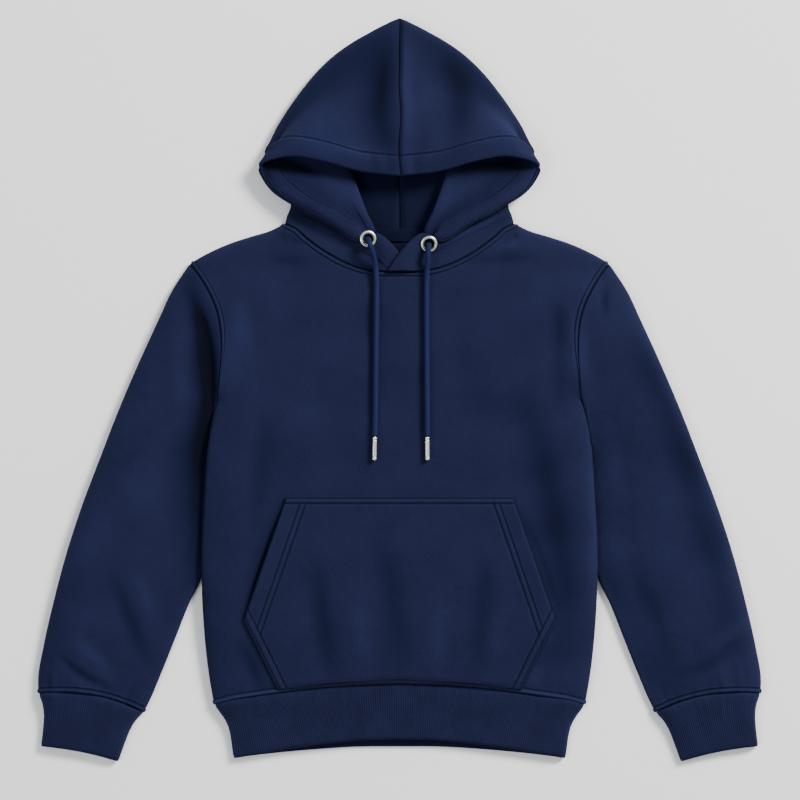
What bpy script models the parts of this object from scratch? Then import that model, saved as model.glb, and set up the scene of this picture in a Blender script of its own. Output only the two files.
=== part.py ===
"""A pullover hoodie in brushed fleece, laid flat on its back with its sleeves at its sides.

X runs across the chest, Y from the hem to the hood's peak, Z up. Sizes are in millimetres and are
scaled to metres when a mesh is made. Every cloth piece is a wall about a middle surface: a grid of
points worked out from the outline tables and from the loft, which says how high the upper layer
lies above the floor at a given distance from the garment's folded edges.
"""

import bpy
import numpy as np

MM = 0.001
WALL = 2.6  # thickness of the fleece
RIB_WALL = 2.4  # thickness of the rib knit without its ribs
GAP = 0.3  # between two pieces sewn together
SEAM = 0.45  # between two curved pieces sewn together, measured along the cloth
REST = WALL / 2  # middle of a layer that lies on the floor
FOLD = 2.6  # radius of a folded edge

BODY_REACH = 60  # from a side or shoulder fold to full height
SLEEVE_OUTER_REACH = 48
SLEEVE_INNER_REACH = 105
SLEEVE_INNER_POWER = 1.15
CUFF_REACH = 22

RIB_PITCH = 4.2  # of the ribs raised in hem and cuffs
RIB_DEPTH = 0.7

# Outline of the body, right half: x, y, height of the folded edge
SIDE_EDGE = [
    (236, -402, 4.4), (242, -367, 5.5), (249.5, -291, 8.5), (251.5, -228, 12.5),
    (247.5, -129, 14), (244, -80, 14), (239, -45, 13), (232, -14, 10),
]
ARMHOLE = [(232, -14), (228.5, 24), (227, 60), (233.5, 102), (253, 141), (267, 160)]
SHOULDER = [(146, 211, 4.5), (164, 202, 4.5), (190, 194, 4.5), (216, 185.5, 4.5), (250, 170, 4.5),
            (267, 160, 4.5)]
# Neck and hem lines, right half from the centre: x, y
FRONT_NECK = [(0, 150), (27, 150.5), (52, 155), (77, 165), (102, 180), (120, 193.5), (134, 206),
              (146, 211)]
BACK_NECK = [(0, 197), (50, 198.5), (100, 203), (128, 208), (146, 211)]
HEM_SEAM = [(0, -374), (60, -376.5), (120, -382), (180, -390), (216, -396), (236, -402)]
FRONT_RIB_END = [(0, -446.5), (55, -448.5), (104, -454), (160, -462), (210.5, -471)]
BACK_RIB_END = [(0, -456.5), (55, -457), (104, -460), (160, -465), (210.5, -471)]
RIB_ROWS = [0, 0.5, 1]  # rows of a hem rib, from its end to the seam
RIB_SHARES = [0, 0.15, 0.3, 0.45, 0.6, 0.75, 0.88, 0.96, 0.995, 1]

# Height of the upper layer's middle, by y
CROWN = [(-476, 9.5), (-445, 11), (-415, 13), (-395, 15.5), (-370, 18), (-300, 22), (-200, 24),
         (0, 24), (60, 23), (110, 21), (150, 18.5), (215, 14)]

# Sleeve, right: outer x, y, inner x, y, bow of the ring towards the shoulder
SLEEVE = [
    (267, 160, 235, -14, 17), (291, 123, 244.6, -48, 17), (305, 93, 245, -84, 16),
    (333, 32, 242, -129, 14), (359, -29, 244, -172, 12), (383, -91, 247, -208, 9),
    (406, -152, 256, -244, 7), (426, -214, 271, -275, 6), (442, -275, 288, -318, 6),
    (454, -328, 304, -358, 8), (461, -372, 321, -398, 10), (460.5, -388, 328, -412, 11),
]
UNDERARM = [(235, -14, 10), (243.6, -48, 6.5), (247, -84, 4)]  # the sleeve's inner fold beside the body
UNDERARM_NOTCH = 2.6  # how far the sleeve stands off the body's corner at the underarm
SHOULDER_NOTCH = 1.0  # and off its corner at the shoulder's end
ARM_SEAM = 0.55
SLEEVE_EDGE = 3.9  # height of the sleeve's folds
SLEEVE_BLEND = 0.28  # share of the sleeve in which its ring turns from the armhole's line into a bow
CUFF = [
    (460.5, -388.7, 328.6, -412.7, 11), (456, -399, 336, -419.5, 10), (453.5, -414, 344, -431, 8),
    (454.5, -435, 352, -450, 5), (457, -456, 361, -475, 3),
]

# Pocket, right half: x, y of its corners
POCKET_TOP = (145, -138)
POCKET_CORNER = (199, -294)
POCKET_FOOT = (155, -384)
POCKET_RISE = 3.5  # of the pocket's foot over the hem seam
POCKET_PUFF = 1.6
POCKET_GAP = 0.55  # under the pocket, more than a seam's because both panels curve

# Hood, right half, from the front neck seam round the mouth to the middle of the crown:
# rim x, y, z; ridge z; casing seam x, y, z; outline fold x, y; roll x, y, z; side fold x, y; back y
HOOD = [
    (3, 178, 20.5, 21.5, 19, 166, 20, 0, 0, 23, 163, 19.5, 143, 221, 203),
    (29, 199, 21.5, 24, 46, 185, 21.5, 0, 0, 50, 182, 20.5, 141, 226, 208),
    (63, 195, 21.5, 29, 60, 216, 27, 0, 0, 37, 206, 24, 139, 231, 214),
    (88, 209, 21, 31, 91, 231, 26, 0, 0, 42, 224, 22.5, 137, 237, 222),
    (112, 220.5, 19, 29, 115, 244, 24, 0, 0, 48, 240, 21, 134, 245, 232),
    (137, 236, 17, 26, 136, 259, 20, 0, 0, 53, 254, 19, 130, 255, 244),
    (161, 253.5, 16, 22, 151, 273, 17, 0, 0, 57, 266, 17, 125, 268, 258),
    (176, 277, 18, 18, 163, 284, 11, 0, 0, 61, 277, 15, 118, 281, 274),
    (170, 286, 24, 25, 175, 300, 15, 177, 300, 65, 289, 13, 110, 294, 292),
    (159, 292, 29, 32, 157, 315, 30, 170, 313, 70, 302, 12, 104, 308, 310),
    (133, 296, 32, 35, 134, 318, 35, 152, 344, 0, 0, 0, 0, 0, 332),
    (95, 289, 33, 36, 94, 315, 37, 122, 387, 0, 0, 0, 0, 0, 352),
    (50, 276.5, 31, 34, 49, 303, 36, 76, 436, 0, 0, 0, 0, 0, 374),
    (0.2, 271, 30, 32.5, 0.2, 298, 34, 0.2, 474, 0, 0, 0, 0, 0, 398),
]
CASING = 26  # width of the turned hem along the mouth
CASING_EXTRA = 2.4  # its second layer of cloth and the cord inside
HOOD_EDGE = 4.6  # height of the outline fold
LAP_LIFT = 5.9  # of the right flap over the left one at the V
NECK_NOTCH = 2.8  # how far the hood stands off the body's corner where neck and shoulder meet
TIP_SPREAD = 0.7  # how far its two layers part there
FLAP_START = 16  # how far past the centre a flap's rim meets the neck seam

EYELET_OUTER = 10.8
EYELET_BORE = 5.4
EYELET_HEIGHT = 2.2
EYELET_SIDES = 20
CORD = 7.0
AGLET_LENGTH = 30
AGLET_WIDTH = 6.2
AGLET_SIDES = 14
LEFT_EYELET = (-40, 191.5)
RIGHT_EYELET = (37.5, 185)
# Routes of the cord's free ends from inside the eyelet to the tip
LEFT_CORD = [(-40, 192, 31), (-38.5, 187, 36), (-36, 180, 36.6), (-33, 170, 32.5), (-30.6, 157, 26.4),
             (-29.4, 140, 24.9), (-29.4, 114, 26.4), (-30, 50, 28.7), (-30.6, -14, 29.4), (-31.4, -60, 29.4)]
RIGHT_CORD = [(37.5, 185.5, 29.2), (37, 180, 33.2), (36.2, 173, 33.8), (35.6, 163, 30.5), (35, 152, 26.4),
              (34.6, 138, 25), (34.3, 114, 26.3), (34.5, 50, 28.7), (34.9, -14, 29.4), (35.3, -60, 29.4)]
TAPE_HALF = 92  # length of the neck tape either side of the centre
TAPE_WIDTH = 18
TAPE = 1.2

# Shares of a half panel from the centre to its edge, close together where the cloth turns over
NECK_SHARE = 0.545
ACROSS_NECK = [0, 0.09, 0.19, 0.29, 0.38, 0.47, NECK_SHARE]
ACROSS_SHOULDER = [0.66, 0.78, 0.88, 0.95, 0.985, 0.997, 1]
SIDE_STEPS = 8
# Shares across a sleeve from its inner to its outer fold, and of the armhole from below
ACROSS_SLEEVE = [0, 0.01, 0.05, 0.16, 0.32, 0.5, 0.68, 0.84, 0.95, 0.99, 1]
SLEEVE_ROWS = 17

NAVY = (0.0129, 0.0212, 0.0578, 1)
NAVY_RIB = (0.0110, 0.0180, 0.0480, 1)
NAVY_CORD = (0.0160, 0.0250, 0.0700, 1)
NICKEL = (0.62, 0.61, 0.59, 1)


# ---------------------------------------------------------------- curves and surfaces


def smooth(rows, shares):
    """Points at the given shares of the length of a smooth curve through the rows: a cubic between
    neighbours whose slopes are the length-weighted mean of the chords'."""
    rows = np.asarray(rows, float)
    steps = np.linalg.norm(np.diff(rows[:, :2], axis=0), axis=1)
    at = np.concatenate([[0], np.cumsum(steps)])
    chords = np.diff(rows, axis=0) / steps[:, None]
    slopes = np.empty_like(rows)
    slopes[0], slopes[-1] = chords[0], chords[-1]
    before, after = steps[:-1, None], steps[1:, None]
    slopes[1:-1] = (chords[:-1] * after + chords[1:] * before) / (before + after)
    place = np.asarray(shares, float) * at[-1]
    k = np.clip(np.searchsorted(at, place, side="right") - 1, 0, len(steps) - 1)
    h = steps[k][:, None]
    t = ((place - at[k]) / steps[k])[:, None]
    return (
        rows[k] * (1 + 2 * t) * (1 - t) ** 2
        + rows[k + 1] * t * t * (3 - 2 * t)
        + slopes[k] * h * t * (1 - t) ** 2
        + slopes[k + 1] * h * t * t * (t - 1)
    )


def unit(vectors):
    return vectors / np.maximum(np.linalg.norm(vectors, axis=-1, keepdims=True), 1e-9)


def ease(t):
    """Zero to one with level ends."""
    t = np.clip(t, 0, 1)
    return t * t * (3 - 2 * t)


def turn(t):
    """Quarter of a circle: steep at zero, level at one."""
    t = np.clip(t, 0, 1)
    return np.sqrt(np.maximum(0, 1 - (1 - t) ** 2))


def mirrored(table):
    return [(-row[0],) + tuple(row[1:]) for row in table]


class Fold:
    """A folded edge: a line of points, its height at each, how far its slope reaches, and how
    soft that slope is."""

    def __init__(self, table, reach, power=0.5):
        points = smooth(table, np.linspace(0, 1, 41))
        self.line, self.heights = points[:, :2], points[:, 2]
        self.reach, self.power = reach, power

    def nearest(self, xy):
        """Distance from each point to the line, and the line's height there."""
        start, step = self.line[:-1], np.diff(self.line, axis=0)
        off = xy[..., None, :] - start
        t = np.clip((off * step).sum(-1) / (step**2).sum(-1), 0, 1)
        far = np.linalg.norm(off - t[..., None] * step, axis=-1)
        k = far.argmin(-1)
        t = np.take_along_axis(t, k[..., None], -1)[..., 0]
        height = self.heights[k] * (1 - t) + self.heights[k + 1] * t
        return far.min(-1), height


def loft(xy, folds):
    """Heights of the upper and the lower layer's middle. Both leave the nearest fold on a small
    round, then the upper one rises to the crown and the lower one falls to the floor."""
    xy = np.asarray(xy, float)
    crown = np.interp(xy[..., 1], [row[0] for row in CROWN], [row[1] for row in CROWN])
    found = [fold.nearest(xy) for fold in folds]
    weights = [1 / (far + 2) ** 3 for far, height in found]
    edge = sum(w * height for w, (far, height) in zip(weights, found)) / sum(weights)
    nearest = np.min([far for far, height in found], axis=0)
    rise = np.ones(nearest.shape)
    for fold, (far, height) in zip(folds, found):
        rise = rise * turn(far / fold.reach) ** (2 * fold.power)
    upper = edge + FOLD * turn(nearest / FOLD) + (crown - edge - FOLD) * rise
    low = np.minimum(FOLD, edge - REST)
    settle = 1 - (1 - np.clip(nearest / (5 * edge), 0, 1)) ** 2
    lower = edge - low * turn(nearest / FOLD) - (edge - REST - low) * settle
    return upper, lower


def across(mid, axis, closed=False):
    """Unit tangents of a grid along one axis, each the mean of the two unit steps beside it."""
    mid = np.moveaxis(mid, axis, 0)
    if closed:
        steps = unit(np.roll(mid, -1, 0) - mid)
        tangents = unit(steps + np.roll(steps, 1, 0))
    else:
        steps = unit(np.diff(mid, axis=0))
        tangents = unit(np.concatenate([steps[:1], steps[:-1] + steps[1:], steps[-1:]]))
    return np.moveaxis(tangents, 0, axis)


# ---------------------------------------------------------------- meshes


def material(name, colour, roughness, metallic=0.0):
    made = bpy.data.materials.get(name) or bpy.data.materials.new(name)
    made.use_nodes = True
    shader = made.node_tree.nodes["Principled BSDF"]
    shader.inputs["Base Color"].default_value = colour
    shader.inputs["Roughness"].default_value = roughness
    shader.inputs["Metallic"].default_value = metallic
    return made


def add_mesh(name, points, faces, surface):
    mesh = bpy.data.meshes.new(name)
    mesh.from_pydata((np.asarray(points) * MM).tolist(), [], faces)
    mesh.materials.append(surface)
    mesh.shade_smooth()
    mesh.set_sharp_from_angle(angle=0.9)
    made = bpy.data.objects.new(name, mesh)
    bpy.context.scene.collection.objects.link(made)
    return made


def quads(first, second, third, fourth):
    return np.stack([first, second, third, fourth], -1).reshape(-1, 4).tolist()


def wall(name, outer, inner, surface, link=None, closed=False):
    """A closed solid between two grids with the same rows. Column i of the outer grid meets column
    link[i] of the inner one at both ends, so the inner side may have fewer columns."""
    rows, columns = outer.shape[:2]
    fewer = inner.shape[1]
    link = np.arange(columns) if link is None else np.asarray(link)
    outside = np.arange(rows * columns).reshape(rows, columns)
    inside = np.arange(rows * fewer).reshape(rows, fewer) + rows * columns
    if closed:
        outside = np.hstack([outside, outside[:, :1]])
        inside = np.hstack([inside, inside[:, :1]])
        link = np.append(link, fewer)
    faces = quads(outside[:-1, :-1], outside[:-1, 1:], outside[1:, 1:], outside[1:, :-1])
    faces += quads(inside[:-1, :-1], inside[1:, :-1], inside[1:, 1:], inside[:-1, 1:])
    for row, order in ((0, -1), (rows - 1, 1)):
        for i in range(outside.shape[1] - 1):
            face = [outside[row, i], outside[row, i + 1], inside[row, link[i + 1]], inside[row, link[i]]]
            face = face if link[i] != link[i + 1] else face[:3]
            faces.append([int(index) for index in face[::order]])
    if not closed:
        faces += quads(outside[:-1, 0], outside[1:, 0], inside[1:, 0], inside[:-1, 0])
        faces += quads(outside[:-1, -1], inside[:-1, -1], inside[1:, -1], outside[1:, -1])
    points = np.concatenate([outer.reshape(-1, 3), inner.reshape(-1, 3)])
    points[:, 2] = np.maximum(points[:, 2], 0)
    return add_mesh(name, points, faces, surface)


# ---------------------------------------------------------------- body


SIDE_FOLDS = [Fold(SIDE_EDGE, BODY_REACH), Fold(mirrored(SIDE_EDGE), BODY_REACH)]
SHOULDER_FOLDS = [Fold(SHOULDER, BODY_REACH), Fold(mirrored(SHOULDER), BODY_REACH)]
OVERARM = [(row[0], row[1], SLEEVE_EDGE) for row in SLEEVE]
OVERARM_FOLDS = [Fold(OVERARM, SLEEVE_OUTER_REACH), Fold(mirrored(OVERARM), SLEEVE_OUTER_REACH)]
BODY_FOLDS = SIDE_FOLDS + SHOULDER_FOLDS + OVERARM_FOLDS


def patch(bottom, top, centre, edge, u, v):
    """Coons patch between four plan curves that share their corners."""
    u, v = u[None, :, None], v[:, None, None]
    ruled = (1 - v) * bottom[None] + v * top[None] + (1 - u) * centre[:, None] + u * edge[:, None]
    corners = (
        (1 - u) * (1 - v) * bottom[0] + u * (1 - v) * bottom[-1] + (1 - u) * v * top[0] + u * v * top[-1]
    )
    return ruled - corners


def body_plan(neck):
    """Plan of a body panel, a grid from side to side and from the hem seam to neck and shoulders."""
    u = np.array(ACROSS_NECK + ACROSS_SHOULDER)
    count = len(ACROSS_NECK)
    top = np.concatenate([
        smooth(neck, u[:count] / NECK_SHARE),
        smooth(SHOULDER, (u[count:] - NECK_SHARE) / (1 - NECK_SHARE))[:, :2],
    ])
    side = smooth(SIDE_EDGE, np.linspace(0, 1, SIDE_STEPS + 1))[:, :2]
    edge = np.concatenate([side, smooth(ARMHOLE, ACROSS_SLEEVE[1:])])
    lengths = np.concatenate([[0], np.cumsum(np.linalg.norm(np.diff(edge, axis=0), axis=1))])
    v = lengths / lengths[-1]
    bottom = smooth(HEM_SEAM, u)
    centre = np.stack([np.zeros(len(v)), bottom[0, 1] + (top[0, 1] - bottom[0, 1]) * v], -1)
    half = patch(bottom, top, centre, edge, u, v)
    left = half[:, :0:-1] * (-1, 1)
    return np.concatenate([left, half], axis=1)


def layer(plan, folds, upper, folded_rows, folded_top):
    """Middle surface and outward normals of a panel of the body. Along a fold its edge stands up
    on the other panel's, and elsewhere it keeps the slope of the cloth."""
    top, low = loft(plan, folds)
    dip = -1.0 if upper else 1.0
    mid = np.concatenate([plan, (top if upper else low)[..., None]], -1)
    share = ease((top - low) / 7)
    share[:folded_rows, [0, -1]] = 0
    share_u, share_v = share[..., None].copy(), share[..., None]
    if folded_top:
        share_u[-1] = 1
    down = np.array([0, 0, dip])
    along_u, along_v = across(mid, 1), across(mid, 0)
    along_u[:, -1] = unit(along_u[:, -1] * share_u[:, -1] + down * (1 - share_u[:, -1]))
    along_u[:, 0] = unit(along_u[:, 0] * share_u[:, 0] - down * (1 - share_u[:, 0]))
    if folded_top:
        along_v[-1] = unit(along_v[-1] * share_v[-1] + down * (1 - share_v[-1]))
    normals = -dip * unit(np.cross(along_u, along_v))
    mid[..., 2] -= dip * GAP / 2 * (1 - share)
    return mid, normals


def body_layer(upper):
    neck = FRONT_NECK if upper else BACK_NECK
    return layer(body_plan(neck), BODY_FOLDS, upper, SIDE_STEPS + 1, True)


def armhole_edge(upper):
    """Points and normals of a body panel's right armhole, from the underarm to the shoulder."""
    mid, normals = body_layer(upper)
    return mid[SIDE_STEPS:, -1], normals[SIDE_STEPS:, -1]


def neck_edge(upper):
    """Points and normals of a body panel's neck, from its centre to the right shoulder."""
    mid, normals = body_layer(upper)
    centre = mid.shape[1] // 2
    columns = slice(centre, centre + len(ACROSS_NECK))
    return mid[-1, columns], normals[-1, columns]


def add_body_panel(name, upper, surface):
    mid, normals = body_layer(upper)
    outer, inner = mid + normals * WALL / 2, mid - normals * WALL / 2
    if not upper:
        outer, inner = outer[:, ::-1], inner[:, ::-1]
    return wall(name, outer, inner, surface)


def rib_wave(count, depth):
    """Ridges and furrows of rib knit across a row of points."""
    return depth * (np.arange(count) % 2)


def add_hem_rib(name, end, upper, surface):
    """Half of the hem band: the front one with raised ribs, the back one plain where it rests."""
    half_width = HEM_SEAM[-1][0]
    ribs = int(half_width / RIB_PITCH / 2) * 2
    coarse = np.array(mirror_shares(RIB_SHARES))
    fine = np.linspace(-1, 1, 4 * ribs + 1) if upper else coarse
    seam_line, end_line = np.array(HEM_SEAM, float), np.array(end, float)
    sides = [(end_line[-1][0], end_line[-1][1], 4.0), (220, -425, 4.2), (236, -402 - SEAM, 4.4)]
    folds = [Fold(sides, BODY_REACH / 2), Fold(mirrored(sides), BODY_REACH / 2)]
    grids = []
    for shares in (fine, coarse):
        sign, size = np.sign(shares)[:, None], np.abs(shares)
        seam = smooth(seam_line, size) - (0, SEAM)
        finish = smooth(end_line, size)
        plan = np.stack([finish + (seam - finish) * v for v in RIB_ROWS])
        edge = smooth(sides, RIB_ROWS)[:, :2]
        plan += (edge - plan[:, -1])[:, None] * (size**4)[None, :, None]
        plan[..., 0] *= sign[:, 0]
        mid, normals = layer(plan, folds, upper, len(RIB_ROWS), False)
        grids.append((mid + normals * RIB_WALL / 2, mid - normals * RIB_WALL / 2, normals))
    (outer, _, normals), (_, inner, _) = grids
    if upper:
        outer = outer + normals * rib_wave(len(fine), RIB_DEPTH)[None, :, None]
    link = np.abs(fine[:, None] - coarse[None]).argmin(1)
    if upper:
        return wall(name, outer, inner, surface, link)
    return wall(name, outer[:, ::-1], inner[:, ::-1], surface)


def mirror_shares(shares):
    return [-share for share in shares[:0:-1]] + list(shares)


# ---------------------------------------------------------------- sleeves and cuffs


def ring_plan(table, shares, rows):
    """Plan of a flattened tube: across from its inner to its outer fold, each row bowed up."""
    sections = np.array(table, float)
    at = np.linspace(0, 1, rows) if np.isscalar(rows) else rows
    drawn = smooth(sections, at)
    outer, inner, bow = drawn[:, None, 0:2], drawn[:, None, 2:4], drawn[:, None, 4:5]
    s = np.asarray(shares, float)[None, :, None]
    chord = outer - inner
    side = unit(np.stack([-chord[..., 1], chord[..., 0]], -1))
    return inner + chord * s + side * bow * 4 * s * (1 - s)


def tube(plan, folds):
    """Middle surface of a closed tube: the upper layer from the inner to the outer fold, then the
    lower layer back."""
    top, low = loft(plan, folds)
    for column, fold in ((0, folds[0]), (-1, folds[1])):
        top[:, column] = low[:, column] = fold.nearest(plan[:, column])[1]
    upper = np.concatenate([plan, top[..., None]], -1)
    lower = np.concatenate([plan, low[..., None]], -1)[:, -2:0:-1]
    return np.concatenate([upper, lower], axis=1)


def tube_normals(mid):
    return unit(np.cross(across(mid, 1, closed=True), -across(mid, 0)))


def sleeve_folds():
    inner = UNDERARM + [(row[2], row[3], SLEEVE_EDGE) for row in SLEEVE[3:]]
    folds = [Fold(inner, SLEEVE_INNER_REACH, SLEEVE_INNER_POWER), Fold(OVERARM, SLEEVE_OUTER_REACH)]
    return folds + SHOULDER_FOLDS[:1]


def armhole_ring():
    """The sleeve's first ring, just outside the armholes of both body panels, with its normals."""
    upper, upper_normals = armhole_edge(True)
    lower, lower_normals = armhole_edge(False)
    along = across(upper[:, :2], 0)
    away = np.stack([along[:, 1], -along[:, 0], np.zeros(len(along))], -1)
    shares = np.array(ACROSS_SLEEVE)
    notch = UNDERARM_NOTCH * (1 - ease(shares / 0.12)) + SHOULDER_NOTCH * ease((shares - 0.94) / 0.06)
    step = away * (ARM_SEAM + notch)[:, None]
    ring = np.concatenate([upper + step, (lower + step)[-2:0:-1]])
    for tip in (0, len(upper) - 1):
        ring[tip] = (upper[tip] + lower[tip]) / 2 + step[tip]
    return ring, np.concatenate([upper_normals, lower_normals[-2:0:-1]])


def sleeve_layer(shares, rows):
    """Middle surface and normals of the right sleeve. Its first rows turn from the armhole's line
    and height into the sleeve's own."""
    plan = ring_plan(SLEEVE, shares, rows)
    mid = tube(plan, sleeve_folds())
    ring, ring_normals = armhole_ring()
    fade = 1 - ease(np.linspace(0, 1, rows) / SLEEVE_BLEND)
    mid = mid + (ring - mid[0])[None] * fade[:, None, None]
    normals = tube_normals(mid)
    tips = [0, len(shares) - 1]
    kept = normals[0, tips].copy()
    normals[0] = ring_normals
    normals[0, tips] = kept
    return mid, normals


def add_sleeve(name, mirror, surface):
    mid, normals = sleeve_layer(ACROSS_SLEEVE, SLEEVE_ROWS)
    return add_tube(name, mid + normals * WALL / 2, mid - normals * WALL / 2, mirror, surface)


def add_tube(name, outer, inner, mirror, surface, link=None):
    """A closed tube's wall, drawn for the right arm and mirrored for the left one."""
    link = np.arange(outer.shape[1]) if link is None else link
    if mirror:
        return wall(name, outer * (-1, 1, 1), inner * (-1, 1, 1), surface, link, closed=True)
    link = (inner.shape[1] - 1 - link)[::-1]
    return wall(name, outer[:, ::-1], inner[:, ::-1], surface, link, closed=True)


def add_cuff(name, mirror, surface):
    """A ribbed tube: ribs raised along its upper layer, plain inside and where it rests."""
    width = CUFF[0][0] - CUFF[0][2]
    ribs = int(width / RIB_PITCH)
    ends = [0, 0.012]
    fine = ends + list(np.linspace(0.03, 0.97, 2 * ribs)) + [1 - share for share in ends[::-1]]
    coarse = [0, 0.012, 0.06, 0.2, 0.4, 0.6, 0.8, 0.94, 0.988, 1]
    rows = np.array([0, 0.3, 0.65, 1])
    inner_line = [(row[2], row[3], SLEEVE_EDGE) for row in CUFF]
    outer_line = [(row[0], row[1], SLEEVE_EDGE) for row in CUFF]
    folds = [Fold(inner_line, CUFF_REACH), Fold(outer_line, CUFF_REACH)]
    drawn, plain = tube(ring_plan(CUFF, fine, rows), folds), tube(ring_plan(CUFF, coarse, rows), folds)
    wave = np.zeros(drawn.shape[1])
    wave[len(ends) : len(fine) - len(ends)] = rib_wave(len(fine) - 2 * len(ends), RIB_DEPTH)
    outer = drawn + tube_normals(drawn) * (RIB_WALL / 2 + wave)[None, :, None]
    inner = plain - tube_normals(plain) * RIB_WALL / 2
    keep = np.concatenate([np.arange(len(fine)), len(fine) - 1 + lower_picks(fine, coarse)])
    below = 2 - np.array(coarse[-2:0:-1])
    link = np.abs(np.concatenate([fine, below])[:, None] - np.concatenate([coarse, below])[None]).argmin(1)
    return add_tube(name, outer[:, keep], inner, mirror, surface, link)


def lower_picks(fine, coarse):
    """Which of the fine columns of the lower layer to keep, so that it is as plain as the inside."""
    fine, coarse = np.array(fine), np.array(coarse[-2:0:-1])
    picks = np.abs(fine[None] - coarse[:, None]).argmin(1)
    return len(fine) - 1 - picks


# ---------------------------------------------------------------- pocket


def pocket_plan(u, v):
    """Plan of the pocket: u from side to side, v from the hem seam to its top, with the corner at
    the share of v where its height lies."""
    corner = (POCKET_CORNER[1] - POCKET_FOOT[1]) / (POCKET_TOP[1] - POCKET_FOOT[1])
    half = np.interp(v, [0, corner, 1], [POCKET_FOOT[0], POCKET_CORNER[0], POCKET_TOP[0]])
    x = half[:, None] * u[None]
    foot = smooth(HEM_SEAM, np.abs(u) * POCKET_FOOT[0] / HEM_SEAM[-1][0])[:, 1] + POCKET_RISE
    y = foot[None] + (POCKET_TOP[1] - foot[None]) * v[:, None]
    drop = foot[None] + (POCKET_TOP[1] - foot[None]) * corner - POCKET_CORNER[1]
    y = y - drop * (1 - np.abs(v[:, None] - corner) / np.maximum(corner, 1 - corner))
    return np.stack([x, y], -1), corner


def add_pocket(surface):
    u = np.array(mirror_shares([0, 0.15, 0.3, 0.45, 0.6, 0.75, 0.88, 1]))
    v = np.concatenate([np.linspace(0, 0.366, 4), np.linspace(0.366, 1, 6)[1:]])
    plan, corner = pocket_plan(u, v)
    mid, normals = layer(plan, BODY_FOLDS, True, 0, False)
    puff = POCKET_PUFF * np.sin(np.pi * v)[:, None] * (1 - u[None] ** 4)
    mid = mid + normals * (WALL + POCKET_GAP + puff)[..., None]
    return wall("pocket", mid + normals * WALL / 2, mid - normals * WALL / 2, surface)


# ---------------------------------------------------------------- hood


def blended(a, b, share):
    return np.asarray(a, float) * (1 - share) + np.asarray(b, float) * share


def fold_points(tip, back, upper_z, lower_z, length=15.0):
    """Four control points of a folded edge in plan: in towards the cloth, tip, tip, and in again."""
    tip, back = np.asarray(tip, float), np.asarray(back, float)
    inward = unit(back - tip) * min(length, np.linalg.norm(back - tip) * 0.45)
    near = tip + inward
    return [(*near, upper_z), (*tip, upper_z), (*tip, lower_z), (*near, lower_z)]


def hood_section(row):
    """Control points of one section of the hood, from the mouth's rim to the back seam."""
    rim, ridge_z, stitch = np.array(row[0:3]), row[3], np.array(row[4:7])
    outline, roll, side, back_y = row[7:9], row[9:12], row[12:14], row[14]
    ridge = np.array([*blended(rim[:2], stitch[:2], 0.45), ridge_z])
    back = np.array([0.2, back_y, REST])
    pleated = roll[2] > 0
    crowned = outline[1] > 0
    points = [rim, ridge, stitch]
    if crowned:
        crest = blended(stitch, (*outline, stitch[2]), 0.5) - (0, 0, 2)
        target = roll[:2] if pleated else back[:2]
        low = REST if not pleated else REST + 5.5
        points += [crest]
        points += fold_points(outline, stitch[:2] if not pleated else target, HOOD_EDGE + 9, low, 18)
    else:
        spread = [blended(stitch, roll, share) for share in (0.12, 0.26, 0.4, 0.54, 0.68)]
        for share, point in zip((0.12, 0.26, 0.4, 0.54, 0.68), spread):
            point[2] -= 12 * share * (1 - share) * (roll[2] < stitch[2] - 1)
        points += spread
    if pleated:
        before = points[-1]
        collar = roll[2] - 6.5
        side_z = min(8.5, collar)
        points.append(blended(before, roll, 0.5))
        flat = np.linalg.norm(rim[:2] - np.array(roll[:2])) < 20
        if flat:
            far = blended((*roll[:2], roll[2]), (*side, side_z), 0.35)
            points += [blended(roll, far, share) for share in (0.1, 0.3, 0.55, 0.8)]
            collar = roll[2] - 1
        else:
            points += fold_points(roll[:2], blended(before[:2], side, 0.4), roll[2], collar, 14)
        points.append(np.array([*blended(roll[:2], side, 0.6), blended(collar, side_z, 0.45) + 1.5]))
        points += fold_points(side, roll[:2], side_z, REST, 14)
        points.append(np.array([*blended(side, back[:2], 0.5), REST]))
    else:
        start = points[-1]
        points += [blended(start, back, share) for share in np.linspace(0, 1, 12)[1:-1]]
    points.append(back)
    return np.array([np.asarray(point, float) for point in points])


def b_spline(control, places):
    """Quadratic B-spline through the mid points of the control polygon, which starts and ends on
    its end points. A place counts control legs from the start."""
    ends = np.concatenate([control[:1] * 2 - control[1:2], control, control[-1:] * 2 - control[-2:-1]])
    k = np.clip(np.floor(places + 0.5).astype(int), 0, len(control) - 1)
    t = (places + 0.5 - k)[:, None]
    a, b, c = ends[k], ends[k + 1], ends[k + 2]
    return 0.5 * ((1 - t) ** 2 * a + (1 + 2 * t - 2 * t * t) * b + t * t * c)


HOOD_PLACES = [0, 0.5, 1, 1.5, 2, 2.5, 3.5, 4.5, 5, 5.5, 6, 6.5, 7.5, 8.5, 9.5, 10, 10.5, 11, 11.5, 12.5,
               13.5, 14.5, 15, 15.5, 16, 16.5, 17.5, 18.3, 19]
SIDE_TIP = 15.5  # the place of the side fold's tip
HOOD_STEPS = [0, 0.5, 1, 1.5, 2, 2.4, 2.7, 3, 3.5, 4, 5, 6, 7, 7.6, 8.2, 9, 9.6, 10.3, 11, 11.5, 12, 12.5, 13,
              13.5, 14]


def on_edge(points, normals, shares):
    """Points and normals at shares of the length of a chain of straight edges."""
    steps = np.linalg.norm(np.diff(points, axis=0), axis=1)
    at = np.concatenate([[0], np.cumsum(steps)]) / steps.sum()
    place = np.stack([np.interp(shares, at, points[:, k]) for k in range(3)], -1)
    facing = np.stack([np.interp(shares, at, normals[:, k]) for k in range(3)], -1)
    return place, unit(facing)


def near_shoulder(row):
    return ease((row[:, 0] - 104) / 28)


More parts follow.
